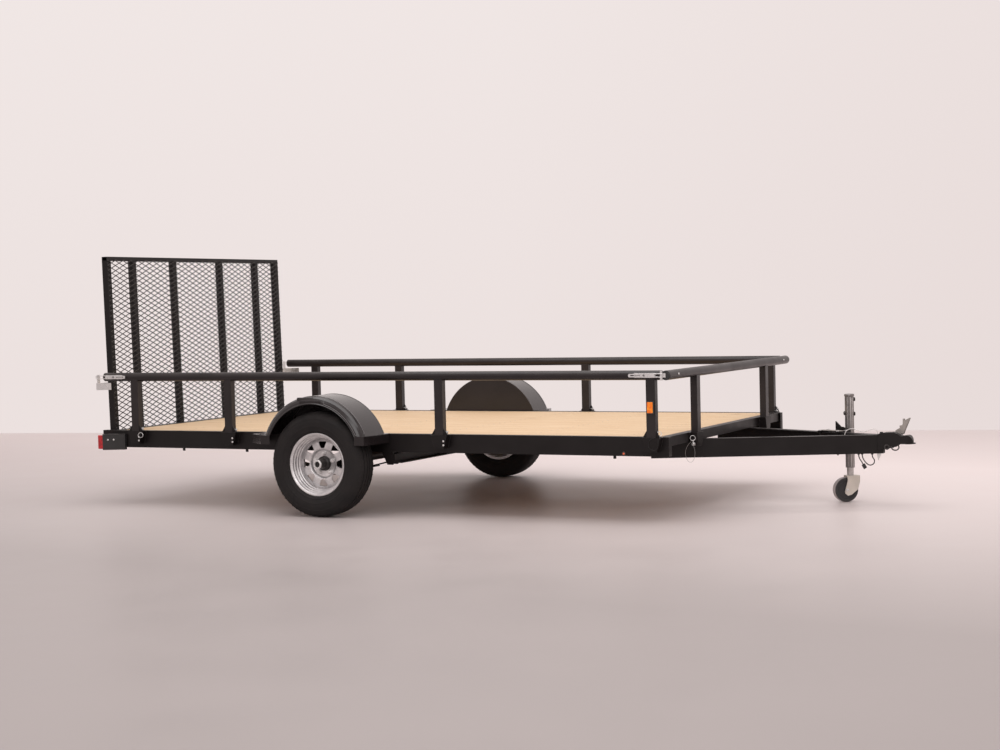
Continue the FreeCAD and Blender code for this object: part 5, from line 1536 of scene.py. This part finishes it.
@dataclass
class Jack:
    """Straps' nuts and top plate, the tube's lugs and seams, and the caster. The seams are painted in a
    lighter zinc than the tube, as painted highlight stripes.
    """

    finishes: Finishes
    apex: float = 2862.0
    from_apex: float = 327.0
    degrees: float = 25.0
    standoff: float = 131.4
    straps: Sequence[float] = (-78.0, 50.0)
    strap_rods: Sequence[float] = (-31.0, 39.0)
    nut: tuple[float, int, float] = (9.0, 6, 1.0)
    nut_heights: Sequence[Flat] = ((287.5, 295.7), (409.5, 414.6))
    plates: Sequence[tuple[Sequence[Flat], float, float, float]] = (
        (tuple(rounded(((-92, -18), (62, -18), (62, 18), (-92, 18)), 6.0)), 409.8, 3.0, 0.8),
        (((-60, -9), (30, -9), (30, 9), (-60, 9)), 412.0, 2.6, 1.2))
    lugs: Sequence[Rod] = (((26, 22, 580), (26, 33, 580), 11.0, 20, 3.2),
                           ((26, 22, 498), (26, 33, 498), 11.0, 20, 3.2),
                           ((206, 22, 502), (206, 33, 502), 11.0, 20, 3.2))
    seams: Sequence[Rod] = (((-102, 24.2, 200), (-102, 24.2, 592), 1.8, 10, 0.6),
                            ((-58, 24.2, 200), (-58, 24.2, 592), 3.2, 10, 0.6),
                            ((-34, 24.2, 200), (-34, 24.2, 592), 2.4, 10, 0.6),
                            ((100, 24.2, 200), (100, 24.2, 592), 3.2, 10, 0.6))
    cap_z: float = 598.0
    cap_steps: int = 48
    cap_side: Sequence[Flat] = ((0.3, 0), (0.3, 27.6), (4, 28), (9.6, 28), (12, 26.4), (13, 23), (13, 12),
                                (11.6, 10), (11.6, 0))
    trail: float = 30.0
    yaw: float = 215.0
    caster: float = 70.5
    caster_steps: int = 72
    axle_ends: Sequence[Rod] = (((0, 30.5, 0), (0, 36.5, 0), 9.0, 6, 1.2),
                                ((0, 30.5, 0), (0, 39.5, 0), 5.0, 16, 1.0),
                                ((0, -30.5, 0), (0, -36.5, 0), 9.0, 6, 1.2),
                                ((0, -30.5, 0), (0, -39.5, 0), 5.0, 16, 1.0))
    tread_side: Sequence[Flat] = (
        (-20, 56), (-20, 60), (-20, 66), (-17, 69.4), (-10, 70.4), (10, 70.4), (17, 69.4), (20, 66), (20, 60),
        (20, 56))
    face_side: Sequence[Flat] = (
        (-21, 8), (-21, 16), (-18, 20), (-18, 48), (-22.4, 52), (-22.4, 65), (-20.2, 67.6), (-19.4, 54),
        (19.4, 54), (20.2, 67.6), (22.4, 65), (22.4, 52), (18, 48), (18, 20), (21, 16), (21, 8))

    def place(self, along: float, out: float, z: float) -> Point:
        """Point from the clamp: along the tongue leg, out from it, and up.

        Args:
            along: along the leg, towards the coupler.
            out: out from the leg's middle.
            z: up from the ground.

        Returns:
            The point in metres.
        """
        turn = math.radians(self.degrees)
        reach = along - self.from_apex
        return at(self.apex + reach * math.cos(turn) + out * math.sin(turn),
                  -reach * math.sin(turn) + out * math.cos(turn), z)

    def about(self, bearing: float, radius: float, z: float) -> Point:
        """Point about the tube's middle line, at a bearing in degrees."""
        turn, (x, y, _) = math.radians(bearing), self.place(0, self.standoff, 0)
        return (x + radius * MM * math.cos(turn), y + radius * MM * math.sin(turn), z * MM)

    def build(self) -> None:
        """Builds the details of the clamp, the tube and the caster."""
        fine = self.finishes
        nuts = [((along, out, low), (along, out, high), *self.nut) for along in self.straps
                for out in self.strap_rods for low, high in self.nut_heights]
        plates = [self.sheet(*row) for row in self.plates]
        top = self.place(0, self.standoff, self.cap_z)
        cap = turned("cap", self.cap_side, top, (0, 0, 1), self.cap_steps, closed=False)
        fitted("jack_clamp_nuts", rods(nuts, self.place), fine.zinc, "chassis", "zinc")
        fitted("jack_clamp_plate", plates, fine.cast_zinc, "chassis", "galvanised")
        fitted("jack_tube_lugs", rods(self.lugs, self.about), fine.dark_zinc, "jack_swivel", "galvanised")
        # The seams take the lighter zinc: painted highlight stripes down the darker tube.
        fitted("jack_tube_seams", rods(self.seams, self.about), fine.mid_zinc, "jack_swivel", "galvanised")
        fitted("jack_cap_detail", [cap], fine.dark_zinc, "jack_swivel", "galvanised", "jack_cap")
        self.wheel()

    def sheet(self, plan: Sequence[Flat], z: float, thick: float, edge: float) -> Piece:
        """Flat plate on top of the tongue leg, between the straps."""
        return slab("sheet", [self.place(a, o, z) for a, o in plan], (0, 0, thick * MM), edge * MM)

    def wheel(self) -> None:
        """Builds the caster's tread, its face and the ends of its axle."""
        fine = self.finishes
        turn = math.radians(self.yaw)
        ahead = Vector((math.cos(turn), math.sin(turn), 0))
        axle = Vector((-math.sin(turn), math.cos(turn), 0))
        centre = Vector(self.place(0, self.standoff, self.caster)) + ahead * self.trail * MM
        tread = turned("tread", self.tread_side, tuple(centre), axle, self.caster_steps)
        face = turned("face", self.face_side, tuple(centre), axle, self.caster_steps)
        ends = rods(self.axle_ends, lambda _x, out, _z: tuple(centre + axle * out * MM))
        fitted("caster_tread", [tread], fine.caster_tread, "caster_wheel", "caster_grey", "caster_wheel")
        fitted("caster_face", [face], fine.caster_black, "caster_wheel", "caster_black", "caster_wheel")
        fitted("caster_axle_nuts", ends, fine.zinc, "caster_fork", "zinc")


@dataclass
class Coupler:
    """Latch lever of folded sheet, bolt, safety rings and the leads at the tongue."""

    finishes: Finishes
    lever_side: Sequence[Flat] = (
        (2988.7, 406.4), (3000, 434), (3012, 462), (3025.5, 494), (3022.4, 496.7), (3003.6, 486.1),
        (2996.4, 479.8), (2993.3, 490.2), (2987.0, 492.2), (2986.7, 467.3), (2984.5, 458.1), (2968.6, 453.4),
        (2970.9, 442.2), (2952.8, 431.6), (2944.3, 425.2), (2975, 406.4))
    web_side: Sequence[Flat] = ((2974, 428), (2986, 422), (3000, 462), (2991, 468))
    sheets: Sequence[Flat] = ((-13.0, 3.0), (10.0, 3.0))
    web: Flat = (-12.0, 24.0)
    sheet_round: float = 0.5
    pivot: Rod = ((2982, -14.5, 414), (2982, 14.5, 414), 4.0, 16, 1.0)
    bolt: Sequence[Rod] = (((2867, 0, 410), (2867, 0, 417.6), 10.0, 6, 1.4),
                           ((2867, 0, 407.4), (2867, 0, 410.2), 13.0, 28, 0.8))
    rings: Sequence[Ring] = (((2905, -38, 338), (0.15, -1, 0.3), 12.0, 3.2),
                             ((2948, -30, 338), (0.25, -0.75, 0.6), 20.0, 3.4))
    clip_side: Sequence[Flat] = ((2844, 302), (2870, 302), (2862, 282), (2852, 262))
    clip: Flat = (-20.0, 4.0)
    clip_round: float = 1.0
    white_radius: float = 2.2
    white_points: Sequence[Point] = (
        (2672, -34, 403.2), (2676, -34, 420), (2694, -33, 434), (2722, -32, 437), (2750, -31, 424),
        (2778, -30, 417), (2806, -29, 430), (2834, -27, 440), (2850, -24, 428), (2852, -22, 403.2))
    lead_radius: float = 3.0
    loop_points: Sequence[Point] = (
        (2820, -24, 295.5), (2820, -24, 281.5), (2834, -25, 265.5), (2830, -28, 243.5), (2808, -32, 235.5),
        (2788, -34, 247.5), (2767, -34, 279.5), (2767, -34, 295.5))
    tail_points: Sequence[Point] = ((2751, -46, 295.5), (2751, -46, 280.5), (2766, -48, 259.5),
                                    (2776, -50, 243.5))

    def build(self) -> None:
        """Builds the lever, the small fittings and the cords."""
        fine = self.finishes
        lever = [self.sheet(self.lever_side, place, self.sheet_round) for place in self.sheets]
        lever += [self.sheet(self.web_side, self.web, self.sheet_round), *rods([self.pivot])]
        clip = self.sheet(self.clip_side, self.clip, self.clip_round)
        fitted("coupler_lever_detail", lever, fine.cast_zinc, "chassis", "zinc", "coupler_lever")
        fitted("coupler_bolt", rods(self.bolt), fine.lamp_black, "chassis", "lamp_black")
        # The rings take the lighter edge paint, a painted highlight on them.
        fitted("safety_rings", hoops(self.rings), fine.edge_black, "chassis", "frame_black")
        fitted("safety_clip", [clip], fine.zinc, "chassis", "zinc")
        self.cords()

    def sheet(self, side: Sequence[Flat], place: Flat, edge: float) -> Piece:
        """Upright sheet of a side view, from one Y and as thick as the place says."""
        y, thick = place
        return slab("sheet", [at(x, y, z) for x, z in side], (0, thick * MM, 0), edge * MM)

    def cable(self, name: str, points: Sequence[Point], radius: float, finish: Finish) -> Piece:
        """Lays one lead along its control points."""
        lead = wire(name, [at(*point) for point in points], radius * MM)
        return report(dress(lead, finish), "chassis")

    def cords(self) -> None:
        """Lead of the lamps where it shows, as a loop and a tail with its plug, and the white lead."""
        black, nodes = self.finishes.cable_black, frame["nodes"]
        loop = self.cable("lead_loop_cable", self.loop_points, self.lead_radius, black)
        tail = self.cable("lead_tail_cable", self.tail_points, self.lead_radius, black)
        white = self.cable("white_cable", self.white_points, self.white_radius, self.finishes.white_cable)
        at(*self.white_points[0])
        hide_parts("lead_loop")
        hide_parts("lead_tail")
        at(*self.loop_points[0])
        at(*self.tail_points[0])


@dataclass
class Studio:
    """Floor, backdrop, soft lamps and the camera at the photograph's place."""

    shift_x: float = -695.97 * MM
    camera_place: Point = (5297.5 * MM, -9657.3 * MM, 1175.1 * MM)
    yaw: float = 0.4564
    pitch: float = 0.0408
    roll: float = -0.0236
    focal_pixels: float = 1788.649
    image_width: float = 1000.0
    sensor: float = 36.0
    view_reach: float = 200.0
    floor_size: float = 60.0
    floor_colour: Colour = (0.385, 0.339, 0.329)
    far_colour: Colour = (0.93, 0.815, 0.795)
    floor_slope: Flat = (0.12, 0.85)
    floor_span: Flat = (-2.6, 2.2)
    wall_colour: Colour = (0.790, 0.695, 0.680)
    bright_wall: Colour = (0.875, 0.800, 0.785)
    glow_colour: Colour = (0.63, 0.58, 0.575)
    wall_foot: Sequence[Flat] = ((-6123.5, 4083.2), (2366.2, 5649.9))
    wall_size: Flat = (70.0, 14.0)
    lamps: Sequence[tuple[str, Point, Point, Flat, float]] = (
        ("overhead", (0.3, -1.0, 5.2), (0.0, 0.0, 0.0), (7.0, 5.0), 210.0),
        ("front_fill", (3.0, -6.5, 3.6), (0.0, 0.0, 0.4), (5.0, 2.4), 90.0))

    def build(self) -> None:
        """Builds the set."""
        self.camera()
        self.floor()
        self.wall()
        self.world()
        for row in self.lamps:
            self.lamp(*row)
        bpy.context.scene.view_settings.view_transform = "Standard"

    def camera(self) -> None:
        """Places the camera by its yaw, pitch and roll."""
        forward_level = Vector((-math.sin(self.yaw), math.cos(self.yaw), 0))
        right_level = Vector((math.cos(self.yaw), math.sin(self.yaw), 0))
        up = Vector((0, 0, 1))
        forward = forward_level * math.cos(self.pitch) - up * math.sin(self.pitch)
        upright = forward_level * math.sin(self.pitch) + up * math.cos(self.pitch)
        right = right_level * math.cos(self.roll) + upright * math.sin(self.roll)
        top = upright * math.cos(self.roll) - right_level * math.sin(self.roll)
        lens = bpy.data.cameras.new("camera")
        lens.sensor_width = self.sensor
        lens.lens = self.focal_pixels / self.image_width * self.sensor
        lens.clip_end = self.view_reach
        view = bpy.data.objects.new("camera", lens)
        turn = Matrix((right, top, -forward)).transposed().to_4x4()
        place = Vector(self.camera_place) + Vector((self.shift_x, 0, 0))
        view.matrix_world = Matrix.Translation(place) @ turn
        bpy.context.scene.collection.objects.link(view)
        bpy.context.scene.camera = view

    def floor(self) -> None:
        """Adds the pale floor, lighter towards the backdrop."""
        nothing()
        bpy.ops.mesh.primitive_plane_add(size=self.floor_size, location=(0, 0, 0))
        ground = named("studio_floor")
        made, g, shader = material("studio_floor")
        patches = g.noise(g.place(), 1.6, 5.0, 0.6)
        warmer = tuple(c * 1.06 for c in self.floor_colour)
        tone = g.blend(g.span(patches, 0.3, 0.7), self.floor_colour, warmer)
        spot = g.add("SeparateXYZ", {0: g.place()}).outputs
        away = g.maths("ADD", g.maths("MULTIPLY", spot["Y"], self.floor_slope[1]),
                       g.maths("MULTIPLY", spot["X"], self.floor_slope[0]))
        tone = g.blend(g.span(away, *self.floor_span), tone, self.far_colour)
        wired(g, shader, Base_Color=tone, Roughness=g.span(patches, 0.3, 0.7, 0.36, 0.46),
              Specular_IOR_Level=0.3)
        dress(ground, made)

    def wall(self) -> None:
        """Stands the pale backdrop on the floor. It lights nothing, and it is clear from behind."""
        nothing()
        bpy.ops.mesh.primitive_plane_add(size=1.0)
        wall = named("studio_wall")
        start, end = (Vector(at(x, y, 0)) for x, y in self.wall_foot)
        width, height = self.wall_size
        run = end - start
        stand = Matrix.Rotation(math.radians(90), 4, "X") @ Matrix.Diagonal((width, height, 1, 1))
        place = Matrix.Translation((start + end) / 2 + Vector((0, 0, height / 2)))
        wall.data.transform(place @ Matrix.Rotation(math.atan2(run.y, run.x), 4, "Z") @ stand)
        wall.visible_diffuse = wall.visible_shadow = False
        made, g, shader = material("studio_wall")
        g.tree.nodes.remove(shader)
        spot = g.add("SeparateXYZ", {0: g.place()}).outputs
        lit = g.maths("ADD", g.span(spot["X"], 3.5, -2.5, 0.0, 0.55), g.span(spot["Z"], 0.5, 4.5, 0.0, 0.45))
        glow = g.add("Emission", {"Color": g.blend(lit, self.wall_colour, self.bright_wall)}).outputs[0]
        clear = g.add("BsdfTransparent").outputs[0]
        behind = g.add("NewGeometry").outputs["Backfacing"]
        both = g.add("MixShader", {0: behind, 1: glow, 2: clear}).outputs[0]
        g.tree.links.new(both, g.tree.nodes["Material Output"].inputs["Surface"])
        dress(wall, made)

    def world(self) -> None:
        """Pale surroundings, brighter to the camera than to the object."""
        world = bpy.data.worlds.new("studio")
        world.use_nodes = True
        bpy.context.scene.world = world
        g = Graph(world.node_tree)
        rays = g.add("LightPath")
        seen = g.maths("MAXIMUM", rays.outputs["Is Camera Ray"],
                       g.maths("MAXIMUM", rays.outputs["Is Glossy Ray"], rays.outputs["Is Transmission Ray"]))
        ground = world.node_tree.nodes["Background"]
        g.fill(ground, {"Color": g.blend(seen, self.glow_colour, self.wall_colour), "Strength": 1.0})

    def lamp(self, name: str, place: Point, target: Point, size: Flat, watts: float) -> None:
        """Hangs one soft lamp.

        Args:
            name: name of the lamp.
            place: where it hangs.
            target: what it faces.
            size: its width and height.
            watts: its power.
        """
        light = bpy.data.lights.new(name, "AREA")
        light.shape = "RECTANGLE"
        light.size, light.size_y = size
        light.energy = watts
        lamp = bpy.data.objects.new(name, light)
        lamp.location = place
        lamp.rotation_euler = (Vector(target) - Vector(place)).to_track_quat("-Z", "Y").to_euler()
        bpy.context.scene.collection.objects.link(lamp)


def main() -> None:
    """Builds the set, the finishes and every sub-assembly."""
    logging.basicConfig(level=logging.INFO, format="%(message)s")
    low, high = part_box("deck_boards")
    finishes = Finishes((high.y - low.y + BOARD_GAP) / BOARDS, low.y)
    Studio().build()
    for assembly in (CadCoats, Deck, Wheels, RampGate, RailFittings, PocketFittings, RearLamps, FenderTrim,
                     Jack, Coupler):
        assembly(finishes).build()


if __name__ == "__main__":
    main()
